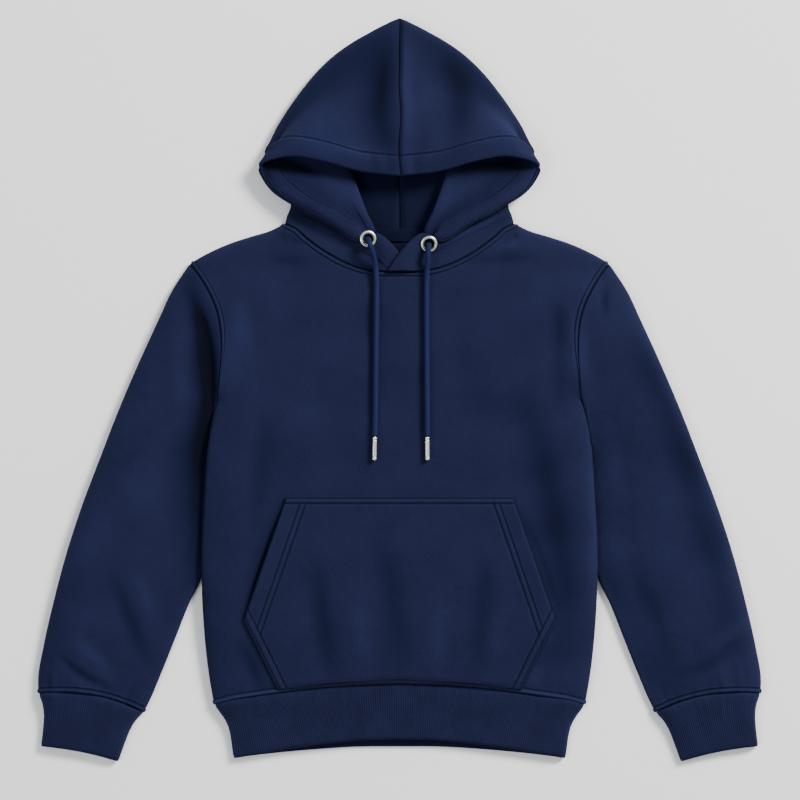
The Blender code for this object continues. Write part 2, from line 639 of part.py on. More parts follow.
def neck_row(places, lengths):
    """The hood's first row, just inside the neck of both body panels: from the V along the front
    to the side fold, then along the back to the centre, with its normals."""
    tip = int(np.searchsorted(places, SIDE_TIP))
    edge, facing = neck_edge(True)
    across_centre = slice(2, 0, -1)
    edge = np.concatenate([edge[across_centre] * (-1, 1, 1), edge])
    facing = np.concatenate([facing[across_centre] * (-1, 1, 1), facing])
    whole = np.linalg.norm(np.diff(edge, axis=0), axis=1).sum()
    start = (edge[0, 0] * -1 - FLAP_START) / whole
    ahead, ahead_normals = on_edge(edge, facing, start + (1 - start) * lengths[: tip + 1] / lengths[tip])
    edge, facing = neck_edge(False)
    back_share = (lengths[tip:] - lengths[tip]) / (lengths[-1] - lengths[tip])
    behind, behind_normals = on_edge(edge[::-1], facing[::-1], back_share)
    for row, turn_sign in ((ahead, 1), (behind, -1)):
        along = across(row[:, :2], 0)
        step = turn_sign * (SEAM + NECK_NOTCH * near_shoulder(row))
        row[:, :2] += step[:, None] * np.stack([-along[:, 1], along[:, 0]], -1)
    ahead[:, 2] += TIP_SPREAD * ease((ahead[:, 0] - 128) / 12)
    behind[:, 2] = np.maximum(behind[:, 2] - 2 * TIP_SPREAD * ease((behind[:, 0] - 128) / 12), REST)
    behind[-1, 0] = GAP / 2
    behind[0] = (*(ahead[-1] + behind[0])[:2] / 2, HOOD_EDGE)
    row = np.concatenate([ahead[:-1], behind])
    normals = np.concatenate([ahead_normals[:-1], behind_normals])
    return row, normals


def between_rows(stations, steps):
    """Rows between the stations, on a cubic through them with the mean of the neighbours' steps."""
    slopes = np.gradient(stations, axis=0)
    k = np.clip(np.floor(steps).astype(int), 0, len(stations) - 2)
    t = (np.asarray(steps) - k)[:, None, None]
    return (
        stations[k] * (1 + 2 * t) * (1 - t) ** 2
        + stations[k + 1] * t * t * (3 - 2 * t)
        + slopes[k] * t * (1 - t) ** 2
        + slopes[k + 1] * t * t * (t - 1)
    )


def hood_layer(places, steps, lap):
    """Middle surface, normals and wall thickness of the right hood half. The lap lifts its flap."""
    places, steps = np.asarray(places, float), np.asarray(steps, float)
    drawn = np.stack([b_spline(hood_section(row), places) for row in HOOD])
    gaps = np.linalg.norm(np.diff(drawn[0], axis=0), axis=1)
    first, first_normals = neck_row(places, np.concatenate([[0], np.cumsum(gaps)]))
    mid = between_rows(np.concatenate([first[None], drawn]), steps)
    flap = (1 - ease((steps - 1.8) / 1.4))[:, None] * (mid[..., 2] > 12)
    mid[..., 2] += lap * ease((46 - mid[..., 0]) / 40) * flap
    along = np.cumsum(np.linalg.norm(np.diff(mid, axis=1), axis=2), axis=1)
    along = np.concatenate([np.zeros((len(mid), 1)), along], axis=1)
    thickness = WALL + CASING_EXTRA * (1 - ease((along - CASING + 3) / 6))
    normals = unit(np.cross(across(mid, 1), across(mid, 0)))
    own = near_shoulder(first)[:, None]
    normals[0] = unit(first_normals * (1 - own) + normals[1] * own)
    return mid, normals, thickness


def hood_walls(places, steps, lap):
    """Outer and inner points of the right hood half, cut off at the centre seam."""
    mid, normals, thickness = hood_layer(places, steps, lap)
    outer = mid + normals * thickness[..., None] / 2
    inner = mid - normals * thickness[..., None] / 2
    crossing = (np.asarray(steps)[:, None] < 3) & (mid[..., 2] > 9)
    for side in (outer, inner):
        side[..., 0] = np.where(crossing, side[..., 0], np.maximum(side[..., 0], GAP / 2))
    return outer, inner, normals


def add_hood_half(name, mirror, surface):
    outer, inner, normals = hood_walls(HOOD_PLACES, HOOD_STEPS, 0 if mirror else LAP_LIFT)
    if mirror:
        return wall(name, outer[:, ::-1] * (-1, 1, 1), inner[:, ::-1] * (-1, 1, 1), surface)
    return wall(name, outer, inner, surface)


# ---------------------------------------------------------------- neck tape, eyelets and cord


def add_tape(surface):
    """A flat strip over the back neck seam, on the inside of the hood and of the back panel."""
    u = np.array(mirror_shares([0, 0.25, 0.5, 0.75, 1]))
    seam = smooth(BACK_NECK, np.abs(u) * TAPE_HALF / BACK_NECK[-1][0])
    x = u * TAPE_HALF
    plan = np.stack([np.stack([x, seam[:, 1] + side * TAPE_WIDTH / 2], -1) for side in (-1, 1)])
    under = np.concatenate([plan, np.full(plan.shape[:2] + (1,), WALL + GAP)], -1)
    return wall("neck_tape", under + (0, 0, TAPE), under, surface)


def seat(centre, mirror):
    """Where an eyelet's base lies: the middle and normal of a plane that clears the flap's cloth."""
    flap = np.linspace(0, 5, 41)
    places = np.concatenate([flap, [place for place in HOOD_PLACES if place > 5]])
    outer, _, normals = hood_walls(places, np.linspace(0.6, 3.2, 53), 0 if mirror else LAP_LIFT)
    sign = -1 if mirror else 1
    points = (outer[:, : len(flap)] * (sign, 1, 1)).reshape(-1, 3)
    facing = (normals[:, : len(flap)] * (sign, 1, 1)).reshape(-1, 3)
    near = np.linalg.norm(points[:, :2] - centre, axis=1) < EYELET_OUTER + 1
    normal = unit(facing[near].mean(0))
    middle = np.array([*centre, points[near, 2].mean()])
    lift = ((points[near] - middle) @ normal).max() + GAP
    return middle + normal * lift, normal


def add_eyelet(name, centre, mirror, surface):
    """A turned ring with a rounded top round the hole that the cord comes out of."""
    base, normal = seat(centre, mirror)
    side = unit(np.cross(normal, (0.0, 1.0, 0.0)))
    up = np.cross(side, normal)
    bore, rim, height = EYELET_BORE, EYELET_OUTER, EYELET_HEIGHT
    profile = np.array([(bore, 0), (bore, 0.6 * height), (bore + 1.2, height), (rim - 2, 0.9 * height),
                        (rim, 0.3 * height), (rim, 0)])
    angles = np.linspace(0, 2 * np.pi, EYELET_SIDES, endpoint=False)[:, None, None]
    radial = np.cos(angles) * side + np.sin(angles) * up
    points = base + radial * profile[None, :, :1] + normal * profile[None, :, 1:]
    count = len(profile)
    index = np.arange(EYELET_SIDES * count).reshape(EYELET_SIDES, count)
    following = np.roll(index, -1, 0)
    faces = quads(index, following, np.roll(following, -1, 1), np.roll(index, -1, 1))
    return add_mesh(name, points.reshape(-1, 3), faces, surface)


def add_cord(name, route, surface):
    """A round cord along a smooth curve through its route, its ends closed."""
    shares = np.concatenate([np.linspace(0, 0.3, 9), np.linspace(0.3, 1, 11)[1:]])
    points = smooth(route, shares)
    curve = bpy.data.curves.new(name, "CURVE")
    curve.dimensions = "3D"
    curve.bevel_depth = CORD / 2 * MM
    curve.bevel_resolution = 2
    curve.use_fill_caps = True
    spline = curve.splines.new("POLY")
    spline.points.add(len(points) - 1)
    for place, point in zip(spline.points, points * MM):
        place.co = (*point, 1)
    curve.materials.append(surface)
    made = bpy.data.objects.new(name, curve)
    bpy.context.scene.collection.objects.link(made)
    return made


def add_aglet(name, route, surface):
    """A metal tube closed at both ends, in line with the cord's tip."""
    tip, before = np.array(route[-1], float), np.array(route[-2], float)
    along = unit(tip - before)
    side = unit(np.cross(along, (0.0, 0.0, 1.0)))
    up = np.cross(side, along)
    radius = AGLET_WIDTH / 2
    profile = [(0, radius - 0.5), (0.6, radius), (AGLET_LENGTH - 0.6, radius), (AGLET_LENGTH, radius - 0.5)]
    angles = np.linspace(0, 2 * np.pi, AGLET_SIDES, endpoint=False)[:, None]
    ring = np.cos(angles) * side + np.sin(angles) * up
    rings = np.concatenate([tip + along * (GAP + far) + ring * size for far, size in profile])
    index = np.arange(len(rings)).reshape(len(profile), AGLET_SIDES)
    following = np.roll(index, -1, 1)
    faces = quads(index[:-1], index[1:], following[1:], following[:-1])
    faces += [index[0].tolist(), index[-1][::-1].tolist()]
    return add_mesh(name, rings, faces, surface)


def main():
    for thing in list(bpy.data.objects):
        bpy.data.objects.remove(thing, do_unlink=True)
    fleece = material("brushed_fleece", NAVY, 0.95)
    rib = material("rib_knit", NAVY_RIB, 0.95)
    add_body_panel("front", True, fleece)
    add_body_panel("back", False, fleece)
    add_hem_rib("hem_rib_front", FRONT_RIB_END, True, rib)
    add_hem_rib("hem_rib_back", BACK_RIB_END, False, rib)
    for side, mirror in (("left", True), ("right", False)):
        add_sleeve("sleeve_" + side, mirror, fleece)
        add_cuff("cuff_" + side, mirror, rib)
        add_hood_half("hood_" + side, mirror, fleece)
    add_pocket(fleece)
    add_tape(material("neck_tape_twill", NAVY_RIB, 0.9))
    nickel = material("nickel", NICKEL, 0.25, 1.0)
    knit = material("cord_knit", NAVY_CORD, 0.9)
    for side, centre, route, mirror in (
        ("left", LEFT_EYELET, LEFT_CORD, True), ("right", RIGHT_EYELET, RIGHT_CORD, False)
    ):
        add_eyelet("eyelet_" + side, centre, mirror, nickel)
        add_cord("cord_" + side, route, knit)
        add_aglet("aglet_" + side, route, nickel)


main()
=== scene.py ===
"""A navy pullover hoodie laid flat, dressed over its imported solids.

Every cloth piece is a thin shell: the middle surface of the solid of the same name, worked out
again on a fine grid, with the creases, seams and ribs of the real cloth added along its normals.
Lengths are in millimetres until a mesh is made, which turns them to metres."""

import bpy
import numpy as np
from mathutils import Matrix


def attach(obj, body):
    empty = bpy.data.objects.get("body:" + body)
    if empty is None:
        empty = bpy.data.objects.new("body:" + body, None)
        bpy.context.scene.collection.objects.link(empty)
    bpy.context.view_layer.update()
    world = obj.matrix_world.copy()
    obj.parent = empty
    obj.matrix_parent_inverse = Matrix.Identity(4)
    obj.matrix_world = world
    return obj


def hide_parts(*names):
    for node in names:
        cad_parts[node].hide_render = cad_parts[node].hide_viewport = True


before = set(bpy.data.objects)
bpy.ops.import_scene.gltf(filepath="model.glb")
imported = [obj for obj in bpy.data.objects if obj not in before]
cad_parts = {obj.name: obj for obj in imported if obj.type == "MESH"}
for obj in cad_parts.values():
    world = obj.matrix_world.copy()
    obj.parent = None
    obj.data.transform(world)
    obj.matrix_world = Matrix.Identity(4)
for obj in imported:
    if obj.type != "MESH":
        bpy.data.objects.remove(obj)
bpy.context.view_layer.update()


MM = 0.001
WALL = 2.6  # thickness of the fleece
RIB_WALL = 2.4  # thickness of the rib knit without its ribs
GAP = 0.1  # between two pieces sewn together
SEAM = 0.12  # between two curved pieces sewn together, measured along the cloth
REST = WALL / 2  # middle of a layer that lies on the floor
FOLD = 2.6  # radius of a folded edge

BODY_REACH = 60  # from a side or shoulder fold to full height
SLEEVE_OUTER_REACH = 48
SLEEVE_INNER_REACH = 105
SLEEVE_INNER_POWER = 1.15
CUFF_REACH = 22

RIB_PITCH = 3.0  # of the ribs of hem and cuffs
RIB_DEPTH = 0.7
HEM_BAND = 68  # from the hem's seam to its free edge
GATHERED = 70  # how far the folds from a seam run into a rib band

# Outline of the body, right half: x, y, height of the folded edge
SIDE_EDGE = [
    (236, -402, 4.4), (242, -367, 5.5), (249.5, -291, 8.5), (251.5, -228, 12.5),
    (247.5, -129, 14), (244, -80, 14), (239, -45, 13), (232, -14, 10),
]
ARMHOLE = [(232, -14), (228.5, 24), (227, 60), (233.5, 102), (253, 141), (267, 160)]
SHOULDER = [(146, 211, 4.5), (164, 202, 4.5), (190, 194, 4.5), (216, 185.5, 4.5), (250, 170, 4.5),
            (267, 160, 4.5)]
# Neck and hem lines, right half from the centre: x, y
FRONT_NECK = [(0, 150), (27, 150.5), (52, 155), (77, 165), (102, 180), (120, 193.5), (134, 206),
              (146, 211)]
BACK_NECK = [(0, 197), (50, 198.5), (100, 203), (128, 208), (146, 211)]
HEM_SEAM = [(0, -374), (60, -376.5), (120, -382), (180, -390), (216, -396), (236, -402)]
FRONT_RIB_END = [(0, -446.5), (55, -448.5), (104, -454), (160, -462), (210.5, -471)]
BACK_RIB_END = [(0, -456.5), (55, -457), (104, -460), (160, -465), (210.5, -471)]

# Height of the upper layer's middle, by y
CROWN = [(-476, 9.5), (-445, 11), (-415, 13), (-395, 15.5), (-370, 18), (-300, 22), (-200, 24),
         (0, 24), (60, 23), (110, 21), (150, 18.5), (215, 14)]

# Sleeve, right: outer x, y, inner x, y, bow of the ring towards the shoulder
SLEEVE = [
    (267, 160, 235, -14, 17), (291, 123, 242.6, -48, 17), (305, 93, 245, -84, 16),
    (333, 32, 242, -129, 14), (359, -29, 244, -172, 12), (383, -91, 247, -208, 9),
    (406, -152, 256, -244, 7), (426, -214, 271, -275, 6), (442, -275, 288, -318, 6),
    (454, -328, 304, -358, 8), (461, -372, 321, -398, 10), (460.5, -388, 328, -412, 11),
]
UNDERARM = [(235, -14, 10), (241.4, -48, 6.5), (247, -84, 4)]  # the sleeve's inner fold beside the body
UNDERARM_NOTCH = 0.5  # how far the sleeve stands off the body's corner at the underarm
SHOULDER_NOTCH = 0.05  # and off its corner at the shoulder's end
ARM_SEAM = 0.15
SLEEVE_EDGE = 3.9  # height of the sleeve's folds
SLEEVE_BLEND = 0.28  # share of the sleeve in which its ring turns from the armhole's line into a bow
CUFF = [
    (460.5, -388.7, 328.6, -412.7, 11), (456, -399, 336, -419.5, 10), (453.5, -414, 344, -431, 8),
    (454.5, -435, 352, -450, 5), (457, -456, 361, -475, 3),
]

# Pocket, right half: x, y of its corners
POCKET_TOP = (145, -138)
POCKET_CORNER = (199, -294)
POCKET_FOOT = (155, -384)
POCKET_RISE = 3.5  # of the pocket's foot over the hem seam
POCKET_PUFF = 1.6
POCKET_GAP = 0.3  # under the pocket, more than a seam's because both panels curve
POCKET_BREAK = 0.366  # share of its height at which the grid has a row along its corners
MOUTH_LINES = (19.5, 26.5)  # stitch lines beside its edges
TOP_LINE = 7.2
SIDE_LINES = (3.6, 11.5)
FOOT_LINE = 3.5

# Hood, right half, from the front neck seam round the mouth to the middle of the crown:
# rim x, y, z; ridge z; casing seam x, y, z; outline fold x, y; roll x, y, z; side fold x, y; back y
HOOD = [
    (3, 178, 20.5, 21.5, 19, 166, 20, 0, 0, 23, 163, 19.5, 143, 221, 203),
    (29, 199, 21.5, 24, 46, 185, 21.5, 0, 0, 50, 182, 20.5, 141, 226, 208),
    (56, 187.5, 22, 28.5, 54, 209, 26.5, 0, 0, 30.5, 195.5, 19.5, 139, 231, 214),
    (88, 209, 21, 31, 91, 231, 26, 0, 0, 42, 224, 22.5, 137, 237, 222),
    (112, 220.5, 19, 29, 115, 244, 24, 0, 0, 48, 240, 21, 134, 245, 232),
    (137, 236, 17, 26, 136, 259, 20, 0, 0, 53, 254, 19, 130, 255, 244),
    (161, 253.5, 16, 22, 151, 273, 17, 0, 0, 57, 266, 17, 125, 268, 258),
    (176, 277, 18, 18, 163, 284, 11, 0, 0, 61, 277, 15, 118, 281, 274),
    (170, 286, 24, 25, 175, 300, 15, 177, 300, 65, 289, 13, 110, 294, 292),
    (159, 292, 29, 32, 157, 315, 30, 170, 313, 70, 302, 12, 104, 308, 310),
    (133, 296, 32, 35, 134, 318, 35, 152, 344, 0, 0, 0, 0, 0, 332),
    (95, 289, 33, 36, 94, 315, 37, 122, 387, 0, 0, 0, 0, 0, 352),
    (50, 276.5, 31, 34, 49, 303, 36, 76, 436, 0, 0, 0, 0, 0, 374),
    (0.2, 271, 30, 32.5, 0.2, 298, 34, 0.2, 474, 0, 0, 0, 0, 0, 398),
]
# How far the hood's fine outline stands off that of its sections: y, x
HOOD_TRIM = [(232, 0), (242, 2.5), (262, 3), (272, 2.8), (280, 3.5), (288, 4.4), (296, -0.8),
             (300, -3.2), (305, -5.8), (312, -4.8), (322, -3), (335, -1.5), (400, -1.5), (425, -3),
             (440, -3.5), (455, -2), (462, 0), (475, 0.5)]
# Half width of the hood, by y
HOOD_HALF = [(232, 135), (262, 171), (280, 179), (300, 175), (339, 154), (385, 124), (431, 77),
             (462, 29), (475, 4)]
CASING = 26  # width of the turned hem along the mouth
CASING_EXTRA = 2.4  # its second layer of cloth and the cord inside
HOOD_EDGE = 4.6  # height of the outline fold
LAP_LIFT = 5.9  # of the right flap over the left one at the V
FLAP_HEIGHT = 12  # the mouth's flaps lie above it
CENTRE_LAP = 0.15  # how far the hood halves reach past the centre, so that no light shows there
HOOD_RELAX = 24  # rounds of softening of the hood's folds
NECK_NOTCH = 0.5  # how far the hood stands off the body's corner where neck and shoulder meet
TIP_SPREAD = 0.7  # how far its two layers part there
FLAP_START = 16  # how far past the centre a flap's rim meets the neck seam

EYELET_OUTER = 10.8
EYELET_BORE = 6.5
EYELET_HEIGHT = 2.2
EYELET_SIDES = 64
EYELET_WALL = 0.7
FUNNEL = 2.0  # how far the ring's bore reaches down into the hole
FLANGE = 0.9  # how far its outer rim reaches below the plane it is seated on
CORD = 7.0
CORD_SIDES = 28
CORD_END = 2.2  # length over which the cord's ends round off
CORD_LOOPS = 8  # loops round the cord
LOOP_PITCH = 5.2
LOOP_HEIGHT = 0.14
AGLET_LENGTH = 30
AGLET_WIDTH = 6.2
AGLET_SIDES = 96
AGLET_RINGS = ((4, 0.35), (25.5, 0.3))  # place and depth of the rings pressed into it
AGLET_LAP = 1.1  # depth of its closed seam
LEFT_EYELET = (-40, 191.5)
RIGHT_EYELET = (37.5, 185)
LEFT_LEAN = (0.2, -0.1)  # how the rings lean on their folds, sideways and towards the hem
RIGHT_LEAN = (0.1, -0.3)
# Routes of the cord's free ends from inside the eyelet to the tip
LEFT_CORD = [(-40, 192, 31), (-38.5, 187, 36), (-36, 180, 36.6), (-33, 170, 32.5),
             (-30.6, 157, 26.4), (-29.4, 140, 24.9), (-29.4, 114, 26.4), (-30, 50, 28.7),
             (-30.6, -14, 29.4), (-31.4, -60, 29.4)]
RIGHT_CORD = [(37.5, 185.5, 29.2), (37, 180, 33.2), (36.2, 173, 33.8), (35.6, 163, 30.5),
              (35, 152, 26.4), (34.6, 138, 25), (34.3, 114, 26.3), (34.5, 50, 28.7),
              (34.9, -14, 29.4), (35.3, -60, 29.4)]
TAPE_HALF = 92  # length of the neck tape either side of the centre
TAPE_WIDTH = 18
TAPE = 1.2

TOPSTITCH = 5.6  # from a seam to the stitches beside it
HEM_STITCH = 6.0
THIN = 1.6  # how much thinner a line of stitches is drawn than a seam
STITCH = 2.4  # length of a stitch
STITCH_PITCH = 3.2
LONGEST_LEG = 12  # of a stitch line; a longer one is a gap in it
# Share along a stitch, half the thread's width and its height over the cloth
THREAD = ((0, 0.1, -0.2), (0.25, 0.3, 0.16), (0.75, 0.3, 0.16), (1, 0.1, -0.2))
HOLLOW_DEPTH = 1.1  # of a dip with the darkest painted shade
DARKEST_PAINTED, LIGHTEST_PAINTED = -1.1, 0.9  # limits of the painted light and shade
NOWHERE = 60.0  # a distance at which no seam line shows

FLEECE_DARK, FLEECE_LIGHT = "#0D1022", "#1B1F3E"
FLEECE_SHADE = "#020412"
RIB_DARK, RIB_LIGHT, RIB_FURROW_SHADE = "#0D1129", "#181D40", "#05060F"
FLOOR_DARK, FLOOR_LIGHT = "#F1F1F1", "#F6F6F6"
COTTON_SHEEN, CORD_SHEEN = "#7C8CC8", "#9AABD4"
TAPE_DARK, TAPE_LIGHT, TAPE_GROOVE_SHADE = "#04071A", "#090D29", "#05070F"
CORD_DARK, CORD_LIGHT = "#070C2A", "#101B48"
NICKEL_DARK, NICKEL_LIGHT = "#D4D1C8", "#F0EDE5"
THREAD_DARK, THREAD_LIGHT = "#070C22", "#0F163A"
SHADE_TINT = (0.55, 0.8, 1.15)  # what painted shade does to red, green and blue

SENSOR = 36.0  # width of the camera's sensor in millimetres
CAMERA_HEIGHT = 4.0  # metres, as all that follows
FIELD = 1.024
FIELD_CENTRE = (0.0006, -0.0135)
FLOOR_HALF = 6
KEY_PLACE, KEY_SIZE, KEY_POWER, KEY_COLOUR = (3.63, 3.06, 3.32), 2.0, 690, (1.0, 0.98, 0.95)
FILL_PLACE, FILL_SIZE, FILL_POWER, FILL_COLOUR = (-3.6, -1.2, 4.4), 3.0, 138, (0.95, 0.97, 1.0)
WORLD_COLOUR, WORLD_STRENGTH = "#F2F4F8", 0.58

lines = []  # the stitch lines that the pieces leave for the thread


def cubic(start, end, start_slope, end_slope, t):
    """Place at t, from 0 to 1, on the cubic between two places with a slope at each."""
    return (
        start * (1 + 2 * t) * (1 - t) ** 2
        + end * t * t * (3 - 2 * t)
        + start_slope * t * (1 - t) ** 2
        + end_slope * t * t * (t - 1)
    )


def smooth(rows, shares):
    """Points at the given shares of the length of a smooth curve through the rows: a cubic between
    neighbours whose slopes are the length-weighted mean of the chords'."""
    rows = np.asarray(rows, float)
    steps = np.linalg.norm(np.diff(rows[:, :2], axis=0), axis=1)
    at = np.concatenate([[0], np.cumsum(steps)])
    chords = np.diff(rows, axis=0) / steps[:, None]
    slopes = np.empty_like(rows)
    slopes[0], slopes[-1] = chords[0], chords[-1]
    before, after = steps[:-1, None], steps[1:, None]
    slopes[1:-1] = (chords[:-1] * after + chords[1:] * before) / (before + after)
    place = np.asarray(shares, float) * at[-1]
    k = np.clip(np.searchsorted(at, place, side="right") - 1, 0, len(steps) - 1)
    h = steps[k][:, None]
    t = ((place - at[k]) / steps[k])[:, None]
    return cubic(rows[k], rows[k + 1], slopes[k] * h, slopes[k + 1] * h, t)


def unit(vectors):
    """The vectors at length one."""
    return vectors / np.maximum(np.linalg.norm(vectors, axis=-1, keepdims=True), 1e-9)


def ease(t):
    """Zero to one with level ends."""
    t = np.clip(t, 0, 1)
    return t * t * (3 - 2 * t)


def turn(t):
    """Quarter of a circle: steep at zero, level at one."""
    t = np.clip(t, 0, 1)
    return np.sqrt(np.maximum(0, 1 - (1 - t) ** 2))


def bell(far, width):
    """One at no distance and less on both sides: e to the minus square of far / width."""
    return np.exp(-((far / width) ** 2))


def nearest_on(line, xy):
    """Distance from each point to a chain of straight legs, its nearest leg, and the share along
    that leg."""
    start, step = line[:-1], np.diff(line, axis=0)
    off = xy[..., None, :] - start
    t = np.clip((off * step).sum(-1) / (step**2).sum(-1), 0, 1)
    far = np.linalg.norm(off - t[..., None] * step, axis=-1)
    leg = far.argmin(-1)
    return far.min(-1), leg, np.take_along_axis(t, leg[..., None], -1)[..., 0]


def sided(points, left):
    """Points drawn for the right side, laid over to the left one if they belong there."""
    return points * ((-1 if left else 1,) + (1,) * (points.shape[-1] - 1))


def mirrored(table):
    """A table of points of the right side, for the left one."""
    return [(-row[0],) + tuple(row[1:]) for row in table]


class Fold:
    """A folded edge: a line of points, its height at each, how far its slope reaches, and how
    soft that slope is."""

    def __init__(self, table, reach, power=0.5):
        points = smooth(table, np.linspace(0, 1, 41))
        self.line, self.heights = points[:, :2], points[:, 2]
        self.reach, self.power = reach, power

    def nearest(self, xy):
        """Distance from each point to the line, and the line's height there."""
        far, k, t = nearest_on(self.line, xy)
        return far, self.heights[k] * (1 - t) + self.heights[k + 1] * t


def loft(xy, folds):
    """Heights of the upper and the lower layer's middle. Both leave the nearest fold on a small
    round, then the upper one rises to the crown and the lower one falls to the floor."""
    xy = np.asarray(xy, float)
    crown = np.interp(xy[..., 1], [row[0] for row in CROWN], [row[1] for row in CROWN])
    found = [fold.nearest(xy) for fold in folds]
    weights = [1 / (far + 2) ** 3 for far, height in found]
    edge = sum(w * height for w, (far, height) in zip(weights, found)) / sum(weights)
    nearest = np.min([far for far, height in found], axis=0)
    rise = np.ones(nearest.shape)
    for fold, (far, height) in zip(folds, found):
        rise = rise * turn(far / fold.reach) ** (2 * fold.power)
    upper = edge + FOLD * turn(nearest / FOLD) + (crown - edge - FOLD) * rise
    low = np.minimum(FOLD, edge - REST)
    settle = 1 - (1 - np.clip(nearest / (5 * edge), 0, 1)) ** 2
    lower = edge - low * turn(nearest / FOLD) - (edge - REST - low) * settle
    return upper, lower


def crowded(count, strength):
    """Shares from 0 to 1 that crowd at both ends: t less a sine of the given strength."""
    t = np.linspace(0, 1, count)
    return t - strength * np.sin(2 * np.pi * t) / (2 * np.pi)


# Shares of the length of each edge at which the fine grids have a point. They crowd at seams.
NECK_SHARE = 0.545
ACROSS_NECK = np.linspace(0, NECK_SHARE, 60)
ACROSS_SHOULDER = NECK_SHARE + (1 - NECK_SHARE) * (1 - (1 - np.linspace(0, 1, 61)[1:]) ** 1.6)
SIDE_STEPS = 95
SIDE_ROWS = crowded(SIDE_STEPS + 1, 0.75)
ACROSS_SLEEVE = crowded(73, 0.7)
SLEEVE_ROWS = crowded(171, 0.75)
RIB_ROWS = np.linspace(0, 1, 17)
NECK_OVER = 8  # columns past the centre that a flap's rim may reach


def finer(values, parts):
    """The list with each interval cut into equal parts."""
    count = (len(values) - 1) * parts + 1
    return np.interp(np.linspace(0, len(values) - 1, count), np.arange(len(values)), values)


HOOD_PLACES = finer([0, 0.5, 1, 1.5, 2, 2.5, 3.5, 4.5, 5, 5.5, 6, 6.5, 7.5, 8.5, 9.5, 10, 10.5, 11, 11.5,
                     12.5, 13.5, 14.5, 15, 15.5, 16, 16.5, 17.5, 18.3, 19], 5)
SIDE_TIP = 15.5  # the place of the side fold's tip
LINE_START = 2.9  # the step from which the casing's lines show
HOOD_STEPS = finer([0, 0.5, 1, 1.5, 2, 2.4, 2.7, 3, 3.5, 4, 5, 6, 7, 7.6, 8.2, 9, 9.6, 10.3, 11, 11.5, 12,
                    12.5, 13, 13.5, 14], 5)

# Creases, as lines of points x, y with a half width and a height: below zero a trough
FRONT_CREASES = [
    ([(150, -10), (174, -65), (188, -116), (199, -180), (208, -240), (208, -334)], 20, -2.0),
    ([(-168, -40), (-180, -110), (-185, -200)], 15, -1.6),
    ([(-203, -321), (-175, -385)], 9, -2.0),
    ([(-174, 166), (-114, 161)], 8, -1.5),
    ([(92, 164), (172, 169)], 8, -2.0),
    ([(129, 180), (139.5, 182), (151, 192)], 3, 1.6),
    ([(146, 201), (150, 191)], 3, -1.5),
    ([(-155, 199), (-127, 185)], 4, -1.6),
    ([(-148, 203), (-137, 187)], 3, 1.2),
    ([(200, 110), (205, 50)], 10, -1.2),
    ([(-206, 114), (-203, 50)], 12, 1.5),
    ([(176, -352), (168, -385)], 9, 1.4),
    ([(-60, 120), (-20, 60), (-10, 10)], 20, -0.9),
    ([(70, 90), (95, 20), (90, -60)], 24, -1.0),
    ([(-110, 60), (-120, -20), (-100, -80)], 26, 1.0),
    ([(190, -250), (182, -330)], 12, 1.0),
]
BACK_CREASES = [
    ([(-180, 20), (-196, -90), (-190, -210)], 16, -1.4),
    ([(176, 30), (194, -80), (186, -220)], 15, -1.3),
    ([(-60, 120), (-80, 0), (-50, -150)], 24, -0.8),
    ([(50, -60), (70, -220), (60, -330)], 22, -0.9),
]
POCKET_CREASES = [
    ([(-108, -225), (-98, -300), (-86, -372)], 15, -2.8),
    ([(-22, -186), (-8, -280), (3, -362)], 17, -2.2),
    ([(108, -210), (104, -290), (94, -362)], 16, -2.2),
    ([(-55, -270), (-45, -365)], 13, 2.0),
    ([(50, -270), (42, -365)], 14, 1.6),
    ([(122, -290), (118, -350)], 10, 1.0),
]
LEFT_SLEEVE_CREASES = [
    ([(-431, -340), (-408, -362), (-374, -380)], 6, -3.2),
    ([(-415, -321), (-370, -362)], 9, 2.0),
    ([(-365, -241), (-344, -296), (-323, -348)], 10, -2.6),
    ([(-337, -233), (-316, -296)], 10, 1.6),
    ([(-282, 90), (-276, -63)], 14, 2.0),
    ([(-268, 138), (-250, 75), (-238, 0), (-240, -90)], 12, -5.0),
    ([(-360, -120), (-330, -60), (-300, -10)], 18, -1.2),
    ([(-430, -250), (-400, -190), (-380, -130)], 14, 1.0),
]
RIGHT_SLEEVE_CREASES = [
    ([(261, 141), (260, 96)], 6, -2.6),
    ([(304, 70), (371, -88), (415, -202)], 14, -2.4),
    ([(257, -14), (283, -168)], 14, 1.2),
    ([(430, -320), (392, -352), (350, -366)], 9, -1.8),
    ([(438, -300), (400, -325)], 9, 1.2),
    ([(300, -230), (330, -300), (345, -350)], 12, -1.4),
]
CROWN_CREASES = [
    ([(-17, 438), (-21, 390), (-24, 350), (-14, 305)], 12, -2.2),
    ([(4, 450), (5, 380), (5, 285)], 5, 1.1),
    ([(56, 425), (74, 383), (77, 350), (68, 312)], 15, -2.0),
    ([(-36, 300), (-33, 274)], 3, -1.2),
    ([(-24, 301), (-23, 272)], 3, 1.2),
    ([(20, 300), (22, 273)], 3, -1.2),
    ([(33, 303), (35, 275)], 3, 1.2),
    ([(-100, 345), (-75, 400)], 12, -1.4),
    ([(118, 335), (126, 362)], 10, 1.2),
]
